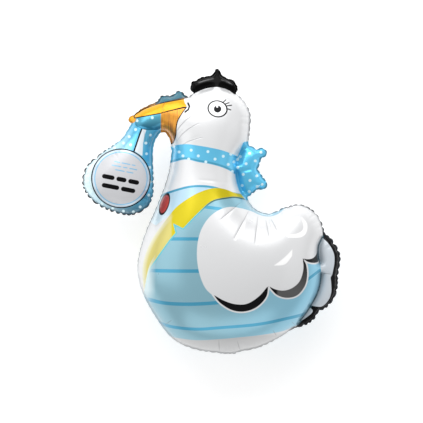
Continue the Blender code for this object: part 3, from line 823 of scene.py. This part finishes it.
def hairline_offsets(x, y):
    """Signed offset to the nearest hairline over its half width, how strong it is there, and the distance."""
    offset = np.zeros((len(x), 3))
    offset[:, 2] = np.inf
    for points, width in HAIRLINES:
        parts = len(points) - 1
        for k in range(parts):
            a, b = np.array(points[k]), np.array(points[k + 1])
            gap, t = along_segment(x, y, a, b)
            side = ((b[0] - a[0]) * (y - a[1]) - (b[1] - a[1]) * (x - a[0])) / np.linalg.norm(b - a)
            near = gap < offset[:, 2]
            offset[near] = np.stack([side / width, arch((k + t) / parts), gap], axis=1)[near]
    return offset


def closed_mesh(name, places, faces):
    """Mesh of triangles, smooth but for sharp folds."""
    mesh = bpy.data.meshes.new(name)
    mesh.vertices.add(len(places))
    mesh.vertices.foreach_set("co", places.ravel())
    mesh.loops.add(faces.size)
    mesh.loops.foreach_set("vertex_index", faces.ravel())
    mesh.polygons.add(len(faces))
    mesh.polygons.foreach_set("loop_start", np.arange(0, faces.size, 3))
    mesh.update(calc_edges=True)
    mesh.validate()
    mesh.shade_smooth()
    mesh.set_sharp_from_angle(angle=math.radians(100.0))
    return mesh


def store(mesh, name, values):
    """Stores a number or a vector for each vertex."""
    kind, key = ("FLOAT", "value") if values.ndim == 1 else ("FLOAT_VECTOR", "vector")
    mesh.attributes.new(name, kind, "POINT").data.foreach_set(key, np.ascontiguousarray(values).ravel())


def foil_skin(sizes):
    """The whole balloon as one closed skin: both sheets share the outline, and the floor flattens the belly.

    Each vertex also stores what the print needs: its place in the picture and its distances to the print's
    regions, dots and hairlines, its depth inside the hem and the puckers' phase.
    """
    field = Lift(sizes)
    flat, triangles, edge_count, ring, length = flat_mesh(field, sizes)
    x, y = flat[:, 0], flat[:, 1]
    depth = field.depth(x, y)
    depth[:edge_count] = 0.0
    run = to_outline(flat, ring, length)[0]
    (x_now, y_now, front, back), (live, dark, phase) = filled_sheets(field, sizes, x, y, depth, run, length)
    count = len(flat)
    inner = np.arange(edge_count, count)
    both = np.concatenate([np.arange(count), inner])
    side = square_side(sizes)
    height = np.concatenate([front, back[inner]]) * side + weld_level(sizes)
    places = np.stack([(x_now[both] - REST_POINT[0]) * side, (y_now[both] - REST_POINT[1]) * side,
                       np.maximum(height, 0.0)], axis=1)
    to_back = np.arange(count)
    to_back[inner] = count + np.arange(len(inner))
    a, b, c = triangles.T
    turned = ((x[b] - x[a]) * (y[c] - y[a]) - (x[c] - x[a]) * (y[b] - y[a])) < 0.0
    up = np.where(turned[:, None], triangles[:, ::-1], triangles)
    mesh = closed_mesh("foil_skin", places, np.vstack([up, to_back[up][:, ::-1]]))
    nearer = 1.0 / (1.0 - front / PICTURE_DISTANCE)
    u, v = x_now * nearer, y_now * nearer
    sheet = np.concatenate([np.ones(count), -np.ones(len(inner))])
    store(mesh, "sheet_place", np.stack([u[both], v[both], sheet], axis=1))
    for name, values in print_fields(u, v).items():
        store(mesh, "print_" + name, values[both])
    for name, values in (("print_dots", dot_offsets(u, v)), ("hairline", hairline_offsets(u, v)),
                         ("hem_depth", depth), ("hem_dark", dark), ("pucker_turn", phase),
                         ("hem_calm", np.clip(1.3 - 3.0 * live, 0.3, 1.0))):
        store(mesh, name, values[both])
    skin = bpy.data.objects.new("foil_skin", mesh)
    bpy.context.scene.collection.objects.link(skin)
    return skin


# Materials

class Wiring:
    """Short calls that add and join shader nodes."""

    def __init__(self, tree):
        self.tree = tree

    def node(self, kind, **settings):
        made = self.tree.nodes.new(kind)
        for key, value in settings.items():
            setattr(made, key, value)
        return made

    def feed(self, socket, value):
        if isinstance(value, bpy.types.NodeSocket):
            self.tree.links.new(value, socket)
        elif value is not None:
            socket.default_value = value

    def math(self, operation, *values, clamp=False):
        made = self.node("ShaderNodeMath", operation=operation, use_clamp=clamp)
        for socket, value in zip(made.inputs, values):
            self.feed(socket, value)
        return made.outputs[0]

    def vector(self, operation, a, b=None, output="Vector"):
        made = self.node("ShaderNodeVectorMath", operation=operation)
        self.feed(made.inputs[0], a)
        self.feed(made.inputs["Scale" if operation == "SCALE" else 1], b)
        return made.outputs[output]

    def split(self, vector):
        """The three parts of a vector."""
        made = self.node("ShaderNodeSeparateXYZ")
        self.feed(made.inputs[0], vector)
        return made.outputs

    def noise(self, place, scale, detail, **settings):
        made = self.node("ShaderNodeTexNoise", **settings)
        self.feed(made.inputs["W" if made.noise_dimensions == "1D" else "Vector"], place)
        self.feed(made.inputs["Scale"], scale)
        self.feed(made.inputs["Detail"], detail)
        return made.outputs[0]

    def ramp(self, value, start, end):
        """Zero at start, one at end and straight between them."""
        return self.math("MULTIPLY_ADD", value, 1.0 / (end - start), start / (start - end), clamp=True)

    def attribute(self, name, output="Fac"):
        return self.node("ShaderNodeAttribute", attribute_name=name).outputs[output]

    def paint(self, mask, below, above):
        """Colour above where the mask is one, and below where it is zero."""
        made = self.node("ShaderNodeMix", data_type="RGBA", clamp_factor=True)
        self.feed(made.inputs["Factor"], mask)
        self.feed(made.inputs[6], below)
        self.feed(made.inputs[7], above)
        return made.outputs[2]

    def blend(self, mask, below, above):
        """Number above where the mask is one, and below where it is zero."""
        made = self.node("ShaderNodeMix", data_type="FLOAT", clamp_factor=True)
        self.feed(made.inputs["Factor"], mask)
        self.feed(made.inputs[2], below)
        self.feed(made.inputs[3], above)
        return made.outputs[0]

    def group(self, tree, **values):
        made = self.node("ShaderNodeGroup", node_tree=tree)
        for key, value in values.items():
            self.feed(made.inputs[key], value)
        return made.outputs[0]

    def inside(self, distance, limit=0.0, edge=0.08):
        """One where a signed distance is below a limit, with a thin soft edge."""
        return self.math("MULTIPLY_ADD", self.math("SUBTRACT", distance, limit), -1.0 / edge, 0.5, clamp=True)

    def band(self, distance, middle, width, edge=0.08):
        """One in a line of a width round one value of a distance."""
        away = self.math("ABSOLUTE", self.math("SUBTRACT", distance, middle))
        return self.inside(away, width / 2.0, edge)

    def both(self, a, b):
        return self.math("MULTIPLY", a, b)

    def either(self, a, b):
        return self.math("MAXIMUM", a, b)


def socket_group(name, inputs, output):
    """Empty node group with named number inputs and one output."""
    tree = bpy.data.node_groups.new(name, "ShaderNodeTree")
    for label, default in inputs:
        kind = "NodeSocketVector" if isinstance(default, tuple) else "NodeSocketFloat"
        tree.interface.new_socket(label, in_out="INPUT", socket_type=kind).default_value = default
    tree.interface.new_socket(output, in_out="OUTPUT", socket_type="NodeSocketFloat")
    wires = Wiring(tree)
    return tree, wires, wires.node("NodeGroupInput").outputs, wires.node("NodeGroupOutput").inputs[output]


def stroke_group():
    """Mask of a straight stroke with round ends: the distance to it is under half its width."""
    none, ahead = (0.0, 0.0, 0.0), (1.0, 0.0, 0.0)
    tree, wires, given, out = socket_group(
        "stroke", (("Place", none), ("Start", none), ("End", ahead), ("Width", 0.2)), "Mask")
    way = wires.vector("SUBTRACT", given["End"], given["Start"])
    here = wires.vector("SUBTRACT", given["Place"], given["Start"])
    share = wires.math("DIVIDE", wires.vector("DOT_PRODUCT", here, way, "Value"),
                       wires.vector("DOT_PRODUCT", way, way, "Value"), clamp=True)
    off = wires.vector("SUBTRACT", here, wires.vector("SCALE", way, share))
    apart = wires.vector("LENGTH", off, output="Value")
    wires.feed(out, wires.inside(apart, wires.math("MULTIPLY", given["Width"], 0.5)))
    return tree


def ellipse_group():
    """Distance from an ellipse's centre in its own half axes, so its rim lies at one."""
    none = (0.0, 0.0, 0.0)
    tree, wires, given, out = socket_group(
        "ellipse", (("Place", none), ("Centre", none), ("Tilt", 0.0), ("Long", 1.0), ("Short", 1.0)), "Ratio")
    turn = wires.node("ShaderNodeVectorRotate", rotation_type="Z_AXIS")
    wires.feed(turn.inputs["Vector"], wires.vector("SUBTRACT", given["Place"], given["Centre"]))
    wires.feed(turn.inputs["Angle"], wires.math("MULTIPLY", given["Tilt"], -1.0))
    along, across, _ = wires.split(turn.outputs[0])
    a = wires.math("DIVIDE", along, given["Long"])
    b = wires.math("DIVIDE", across, given["Short"])
    wires.feed(out, wires.math("SQRT", wires.math("ADD", wires.both(a, a), wires.both(b, b))))
    return tree


class FoilPrint:
    """The print's layers, each painted over the ones below: its colour, and how much bare metal shows."""

    def __init__(self, wires, inks):
        self.wires = wires
        self.inks = inks
        self.stroke = stroke_group()
        self.ellipse = ellipse_group()
        self.x, self.y, _ = wires.split(wires.attribute("sheet_place", "Vector"))
        flat = wires.node("ShaderNodeCombineXYZ")
        wires.feed(flat.inputs[0], self.x)
        wires.feed(flat.inputs[1], self.y)
        self.place = flat.outputs[0]
        self.colour = self.ink("white")
        self.metal, self.coat = FINISHES["white"]

    def ink(self, name):
        """Colour of an ink, or of a shade of one."""
        return (*(SHADES.get(name) or getattr(self.inks, name)), 1.0)

    def fade(self, mask, below, above):
        """Colour that goes from one ink to another with a mask."""
        return self.wires.paint(mask, self.ink(below), self.ink(above))

    def field(self, name):
        """Signed distance to a region of the print."""
        return self.wires.attribute("print_" + name)

    def region(self, name, ink, colour=None, limit=0.0, edge=0.08):
        """Paints one layer over a region of the print."""
        self.lay(self.wires.inside(self.field(name), limit, edge), ink, colour)

    def lay(self, mask, ink, colour=None):
        """Paints one layer: an ink, or a shade's name or another colour with the ink's finish."""
        if colour is None or isinstance(colour, str):
            colour = self.ink(colour or ink)
        metal, coat = FINISHES[ink]
        self.colour = self.wires.paint(mask, self.colour, colour)
        self.metal = self.wires.blend(mask, self.metal, metal)
        self.coat = self.wires.blend(mask, self.coat, coat)

    def hairlines(self):
        """Depth of the fine creases: round across each line, from its signed offset over its half width."""
        w = self.wires
        offset, strength, distance = w.split(w.attribute("hairline", "Vector"))
        low = w.math("SUBTRACT", 1.0, w.both(offset, offset), clamp=True)
        return w.both(w.both(w.both(low, low), strength), w.inside(distance, 0.9, 0.1))

    def strokes(self, points, width):
        """Mask of a line of straight strokes."""
        whole = None
        for a, b in zip(points[:-1], points[1:]):
            one = self.wires.group(self.stroke, Place=self.place, Start=(*a, 0.0), End=(*b, 0.0), Width=width)
            whole = one if whole is None else self.wires.either(whole, one)
        return whole

    def disc(self, centre, long_radius, short_radius=None, tilt=0.0):
        """Ratio of a round or oval mark: one on its rim."""
        return self.wires.group(self.ellipse, Place=self.place, Centre=(*centre, 0.0), Tilt=tilt,
                                Long=long_radius, Short=short_radius or long_radius)

    def shirt(self):
        w = self.wires
        # Painted shade: the white ink greyer below the height -34, where the base faces away from the light.
        self.lay(w.inside(self.y, -34.0, 2.0), "white", "base_painted_shade")
        shirt = w.inside(self.field("shirt"))
        # Painted reflection: the shirt bluer towards the tail.
        self.lay(shirt, "shirt", self.fade(w.ramp(self.x, 0.0, 28.6), "shirt", "far_shirt"))
        self.lay(w.both(shirt, w.inside(self.field("stripe"))), "stripe")

    def collar(self):
        w = self.wires
        collar = self.field("collar")
        # Painted highlight: the collar paler on its left side.
        self.lay(w.inside(collar), "collar", self.fade(w.ramp(self.x, -11.0, -13.5), "collar", "near_collar"))
        above_sash = w.inside(w.math("MULTIPLY", self.y, -1.0), -3.6)
        self.lay(w.both(w.band(collar, -0.30, 0.6), above_sash), "stripe")
        button = self.disc(BUTTON_CENTRE, *BUTTON_RADII, BUTTON_TILT)
        self.lay(w.inside(button, 1.12), "black")
        self.lay(w.inside(button, 0.92), "red")

    def sash(self):
        """Lemon sash with dark piping: its lower half fades out from its lit edge, over a pale ground."""
        w = self.wires
        sash = self.field("sash")
        over_shirt = w.inside(self.field("shirt"), -0.2)
        piping = self.fade(w.ramp(self.y, -0.67, 2.67), "teal", "deep_teal")
        self.lay(w.both(w.inside(sash, 0.42), over_shirt), "teal", piping)
        faded = w.ramp(self.field("sash_fade"), -0.31, 1.23)
        strength = w.blend(w.ramp(self.y, -0.67, -4.0), 1.0, faded)
        # Painted highlight: the yellow a quarter weaker left of x = -11.2, so the pale ground shows.
        paler_by_painted_highlight = w.math("MULTIPLY_ADD", w.inside(self.x, -11.2, 0.5), -0.25, 1.0)
        self.lay(w.inside(sash), "yellow", "sash_ground")
        self.lay(w.both(w.both(w.inside(sash), strength), paler_by_painted_highlight), "yellow")

    def flank(self):
        """Painted reflection: the shirt paler along its left rim, where it runs out of sight below the sash.
        """
        w = self.wires
        flank = w.both(w.ramp(self.x, -15.56, -17.78), w.ramp(self.y, -25.33, -22.0))
        self.lay(w.both(w.math("MULTIPLY", flank, 0.75), w.inside(self.field("shirt"))), "pale", "flank_painted_reflection")

    def wing(self):
        w = self.wires
        self.region("wing", "white")
        crescent = self.field("crescent")
        self.lay(w.inside(crescent, 0.42), "white")
        self.lay(w.inside(crescent), "black")
        sheen = w.both(w.ramp(self.x, 18.12, 18.75), w.ramp(self.y, -13.64, -22.73))
        self.lay(w.both(w.inside(crescent), sheen), "black", "crescent_sheen")
        self.region("glint", "glint", None, 0.0, 0.25)

    def rim(self):
        """Painted highlight: a pale line on the hem where it lies calm."""
        w = self.wires
        rim = w.both(w.inside(w.attribute("hem_depth"), 0.6, 0.2), w.attribute("hem_calm"))
        self.lay(w.math("MULTIPLY", rim, 0.75), "pale", "rim_painted_highlight")

    def tail(self):
        self.region("tail", "silver", "tail_grey")
        self.region("tail_edge", "black")
        # Painted shade: a dark band and a crisp dark line along the tail's seams, where the body bulges over
        # the tail.
        self.region("seam", "stripe", "seam_shade", 0.25, 0.5)
        self.region("seam", "black", "seam_shadow_line", 0.09, 0.14)

    def dots(self, mask):
        w = self.wires
        across, along, distance = w.split(w.attribute("print_dots", "Vector"))
        apart = w.math("SQRT", w.math("ADD", w.both(across, across), w.both(along, along)))
        near = w.inside(distance, 1.3 * DOT_RADIUS)
        self.lay(w.both(w.both(w.inside(apart, DOT_RADIUS, 0.2), near), mask), "dot")

    def scarf(self):
        w = self.wires
        scarf, bow = self.field("scarf"), self.field("bow")
        both = w.inside(w.math("MINIMUM", scarf, bow))
        self.lay(both, "sky")
        # Painted shade: a dark band along the scarf's lower edge, below the height 15.5.
        self.lay(w.both(w.band(scarf, -0.35, 0.5, 0.4), w.inside(self.y, 15.5)), "stripe")
        self.lay(w.inside(bow), "sky", "bow_blue")
        # Painted shade: a faint dark band inside the bow's edge, along its seams.
        self.lay(w.math("MULTIPLY", w.band(bow, -0.35, 0.45, 0.5), 0.4), "stripe")
        self.dots(both)

    def bundle(self):
        """Spotted cloth, paled on its outer side by a painted reflection and darkened at its foot by painted
        shade, with the strap and the knot.
        """
        w = self.wires
        bundle = w.inside(self.field("bundle"))
        # Painted reflection pales the outer side, and painted shade darkens the foot.
        paler_by_painted_highlight = w.both(w.ramp(self.x, -21.5, -31.5), w.ramp(self.y, -2.08, 6.25))
        cloth = self.fade(w.ramp(self.y, 5.62, -0.62), "cloth_blue", "cloth_foot")
        self.lay(bundle, "sky", w.paint(paler_by_painted_highlight, cloth, self.ink("pale")))
        self.dots(bundle)
        self.region("strap", "pale", "strap_white", 0.0, 0.2)
        self.lay(self.strokes(STRAP_LINE, 0.42), "black")
        knot = w.inside(self.field("knot"))
        # Painted shade: the knot darker towards its lower edge.
        self.lay(knot, "knot", self.fade(w.ramp(self.y, 25.78, 23.56), "knot", "knot_foot"))
        self.dots(knot)

    def badge(self):
        """Grey disc with a black rim and a thin blue line inside it."""
        w = self.wires
        badge = self.disc(BADGE_CENTRE, 1.0)
        for radius, width, line, field, shade in ((BADGE_RADIUS, 0.34, "black", "pale", "badge_ground"),
                                                  (BADGE_LINE_RADIUS, 0.28, "thread", "silver", "silver")):
            self.lay(w.inside(badge, radius + width / 2.0), line)
            self.lay(w.inside(badge, radius - width / 2.0), field, shade)

    def badge_rows(self):
        """Tilted rows of plain dashes in the badge's middle: three thin ones over two bold ones."""
        cos, sin = math.cos(BADGE_TILT), math.sin(BADGE_TILT)

        def at(u, v):
            return (BADGE_CENTRE[0] + u * cos - v * sin, BADGE_CENTRE[1] + u * sin + v * cos)

        for row, width, ink, pieces in BADGE_ROWS:
            for start, end in pieces:
                self.lay(self.strokes([at(start, row), at(end, row)], width), ink)

    def pouch(self):
        """Amber pouch under the beak with a painted reflection of brown streaks towards the throat, and the
        beak's shaded top.
        """
        w = self.wires
        stretch = w.node("ShaderNodeMapping")
        w.feed(stretch.inputs["Vector"], self.place)
        stretch.inputs["Rotation"].default_value = (0.0, 0.0, math.radians(-12.0))
        stretch.inputs["Scale"].default_value = (3.4, 0.20, 1.0)
        # Painted reflection: brown streaks, and brown that grows towards the throat.
        painted_reflection_streaks = w.math("MULTIPLY_ADD", w.noise(stretch.outputs[0], 1.0, 2.0), 4.2, -2.0)
        deep = w.math("ADD", w.ramp(self.y, 26.5, 16.5), painted_reflection_streaks, clamp=True)
        self.lay(w.inside(self.field("pouch")), "pouch", self.fade(deep, "pouch", "rust"))
        band = self.field("beak_band")
        self.lay(w.inside(band), "pouch", self.fade(w.ramp(band, 0.07, -0.64), "pouch", "beak_shadow"))

    def crest(self):
        w = self.wires
        crest = self.field("crest")
        self.lay(w.inside(crest), "crest")
        self.lay(w.math("MULTIPLY", w.band(crest, 0.0, 0.35, 0.2), 0.8), "thread", "crest_line")

    def beak(self):
        w = self.wires
        tip = self.disc(BEAK_TIP, 0.85)
        self.lay(w.inside(tip, 1.3), "pouch")
        self.lay(w.inside(tip, 0.8), "beak")
        beak = self.field("beak")
        self.lay(w.inside(beak), "beak")
        below_band = w.inside(self.field("beak_band"), 0.1, 0.1)
        below_eye = w.inside(self.y, 29.4)
        for part in (below_band, below_eye):
            self.lay(w.both(w.band(beak, 0.0, 0.28), part), "black")
        self.lay(self.strokes(BEAK_FOLD, 0.14), "rust")
        right_of_fold = w.inside(w.math("MULTIPLY", self.x, -1.0), 12.6)
        face = w.both(w.band(self.field("pouch"), 0.0, 0.28), right_of_fold)
        self.lay(w.both(face, below_eye), "black")
        self.lay(self.strokes(SMILE, 0.48), "black")
        self.lay(self.strokes(CHEEK, 0.28), "black")

    def eye(self):
        w = self.wires
        ring = self.disc(EYE_CENTRE, *EYE_RADII, EYE_TILT)
        self.lay(w.inside(ring, 1.07, 0.04), "black")
        self.lay(w.inside(ring, 0.91, 0.04), "white", "eye_white")
        self.lay(w.inside(self.disc(PUPIL_CENTRE, *PUPIL_RADII), 1.0, 0.15), "black")
        self.lay(w.inside(self.disc(*PUPIL_GLINT), 1.0, 0.3), "white")
        for lash in LASHES:
            self.lay(self.strokes(lash, 0.30), "black")

    def beret(self):
        self.region("beret", "black", "beret_black")
        # Painted highlights: a faint wide grey stroke under a lighter narrow one.
        for points in BERET_HIGHLIGHTS:
            self.lay(self.wires.math("MULTIPLY", self.strokes(points, 0.75), 0.4), "black", "beret_highlight_glow")
            self.lay(self.strokes(points, 0.28), "black", "beret_highlight_core")

    def hem(self):
        """Painted shadow in the hem's ruffles: a dark line at its edge between one pucker and the next, by
        fits and starts.
        """
        w = self.wires
        turn, calm = w.attribute("pucker_turn"), w.attribute("hem_calm")
        fits = w.math("MULTIPLY_ADD", w.noise(turn, 0.35, 1.0, noise_dimensions="1D"), 3.4, -0.95)
        swing = w.math("COSINE", w.math("MULTIPLY", turn, 2.0 * math.pi))
        dash = w.either(w.math("MULTIPLY_ADD", fits, 1.6, w.math("MULTIPLY", swing, -1.0), clamp=True), calm)
        width = w.math("MULTIPLY_ADD", calm, -0.2, 0.42)
        line = w.both(w.inside(w.attribute("hem_depth"), width, 0.15), dash)
        self.lay(w.both(line, w.attribute("hem_dark")), "thread", "hem_dark")
        # Painted shade: the hairlines' creases darkened.
        self.lay(w.math("MULTIPLY", self.hairlines(), 0.42), "white", "hairline_painted_shade")


def foil_material(inks):
    """Printed film: ink over metal under a clear gloss, with fine crinkles and a soft mottle of gloss."""
    material = bpy.data.materials.new("printed_foil")
    material.use_nodes = True
    shader = material.node_tree.nodes["Principled BSDF"]
    w = Wiring(material.node_tree)
    layers = FoilPrint(w, inks)
    for layer in (layers.shirt, layers.collar, layers.sash, layers.flank, layers.wing, layers.rim,
                  layers.tail, layers.bundle, layers.badge, layers.badge_rows, layers.pouch, layers.crest,
                  layers.beak, layers.scarf, layers.eye, layers.beret, layers.hem):
        layer()
    place = w.node("ShaderNodeTexCoord").outputs["Object"]
    mottle = w.noise(place, 26.0, 3.0)
    crinkle = w.noise(place, 14.0, 2.0, noise_type="RIDGED_MULTIFRACTAL")
    bump = w.node("ShaderNodeBump")
    bump.inputs["Strength"].default_value = 1.0
    bump.inputs["Distance"].default_value = BUMP_HEIGHT
    height = w.math("MULTIPLY_ADD", crinkle, 0.08, w.math("MULTIPLY", layers.hairlines(), -0.5))
    w.feed(bump.inputs["Height"], height)
    w.feed(shader.inputs["Base Color"], layers.colour)
    w.feed(shader.inputs["Metallic"], layers.metal)
    w.feed(shader.inputs["Roughness"], w.math("MULTIPLY_ADD", mottle, 0.10, 0.25))
    w.feed(shader.inputs["Normal"], bump.outputs[0])
    w.feed(shader.inputs["Coat Weight"], layers.coat)
    shader.inputs["Coat Roughness"].default_value = 0.20
    return material


def floor_material(colour, glow):
    """Matt pale acrylic with a faint mottle, lit a little from below."""
    material = bpy.data.materials.new("pale_floor")
    material.use_nodes = True
    shader = material.node_tree.nodes["Principled BSDF"]
    w = Wiring(material.node_tree)
    mottle = w.noise(w.node("ShaderNodeTexCoord").outputs["Object"], 3.0, 2.0)
    darker = tuple(0.99 * part for part in colour)
    w.feed(shader.inputs["Base Color"], w.paint(mottle, (*darker, 1.0), (*colour, 1.0)))
    shader.inputs["Roughness"].default_value = 0.8
    shader.inputs["Emission Color"].default_value = (1.0, 1.0, 1.0, 1.0)
    shader.inputs["Emission Strength"].default_value = glow
    return material


# Operators

class BALLOON_OT_foil_skin(bpy.types.Operator):
    """Builds the filled balloon as one closed skin with its print"""

    bl_idname = "balloon.foil_skin"
    bl_label = "Foil skin"

    def execute(self, context):
        scene = context.scene
        skin = foil_skin(scene.balloon_sizes)
        skin.data.materials.append(foil_material(scene.balloon_inks))
        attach(skin, "root")
        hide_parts("foil_envelope")
        return {"FINISHED"}


def soft_box(name, power, away, size, target):
    """Area light at a place given from its target, which it faces."""
    light = bpy.data.lights.new(name, "AREA")
    light.shape = "RECTANGLE"
    light.size, light.size_y = size
    light.energy = power
    lamp = bpy.data.objects.new(name, light)
    lamp.location = target + away
    lamp.rotation_euler = (-away).to_track_quat("-Z", "Y").to_euler()
    bpy.context.scene.collection.objects.link(lamp)


class BALLOON_OT_studio(bpy.types.Operator):
    """Lays the floor and sets the lights and the camera straight above the balloon"""

    bl_idname = "balloon.studio"
    bl_label = "Studio"

    def execute(self, context):
        scene = context.scene
        studio = scene.balloon_studio
        sizes = scene.balloon_sizes
        side = square_side(sizes)
        middle = Vector((-REST_POINT[0] * side, -REST_POINT[1] * side, weld_level(sizes)))
        half = studio.floor_side / 2.0
        mesh = bpy.data.meshes.new("floor")
        mesh.from_pydata([(-half, -half, 0.0), (half, -half, 0.0), (half, half, 0.0), (-half, half, 0.0)], [],
                         [(0, 1, 2, 3)])
        mesh.materials.append(floor_material(studio.floor_colour, studio.floor_glow))
        floor = bpy.data.objects.new("floor", mesh)
        scene.collection.objects.link(floor)
        world = bpy.data.worlds.new("even_light")
        world.use_nodes = True
        world.node_tree.nodes["Background"].inputs[0].default_value = (1.0, 1.0, 1.0, 1.0)
        world.node_tree.nodes["Background"].inputs[1].default_value = studio.sky_strength
        scene.world = world
        for name, power, away, size in SOFT_BOXES:
            soft_box(name, getattr(studio, power), Vector(away), size, middle)
        camera = bpy.data.cameras.new("overhead")
        camera.sensor_width = 36.0
        camera.lens = camera.sensor_width * studio.camera_distance / studio.frame_side
        camera.clip_end = 100.0
        eye = bpy.data.objects.new("overhead", camera)
        eye.location = middle + Vector((0.0, 0.0, studio.camera_distance))
        scene.collection.objects.link(eye)
        scene.camera = eye
        scene.view_settings.view_transform = "Standard"
        return {"FINISHED"}


class BALLOON_PT_panel(bpy.types.Panel):
    """Lists the balloon's settings and steps"""

    bl_label = "Foil balloon"
    bl_idname = "BALLOON_PT_panel"
    bl_space_type = "VIEW_3D"
    bl_region_type = "UI"
    bl_category = "Foil balloon"

    def draw(self, context):
        for group in (context.scene.balloon_sizes, context.scene.balloon_inks, context.scene.balloon_studio):
            box = self.layout.box()
            for name in group.__annotations__:
                box.prop(group, name)
        for operator in (BALLOON_OT_foil_skin, BALLOON_OT_studio):
            self.layout.operator(operator.bl_idname)


CLASSES = (BalloonSizes, BalloonInks, StudioSettings, BALLOON_OT_foil_skin, BALLOON_OT_studio,
           BALLOON_PT_panel)


def register():
    """Registers the classes and puts their settings on the scene."""
    for cls in CLASSES:
        bpy.utils.register_class(cls)
    bpy.types.Scene.balloon_sizes = PointerProperty(type=BalloonSizes)
    bpy.types.Scene.balloon_inks = PointerProperty(type=BalloonInks)
    bpy.types.Scene.balloon_studio = PointerProperty(type=StudioSettings)


def unregister():
    """Takes the settings and the classes away again."""
    for name in ("balloon_sizes", "balloon_inks", "balloon_studio"):
        delattr(bpy.types.Scene, name)
    for cls in reversed(CLASSES):
        bpy.utils.unregister_class(cls)


def main():
    """Builds the balloon and its studio."""
    register()
    bpy.ops.balloon.foil_skin()
    bpy.ops.balloon.studio()


if __name__ == "__main__":
    main()
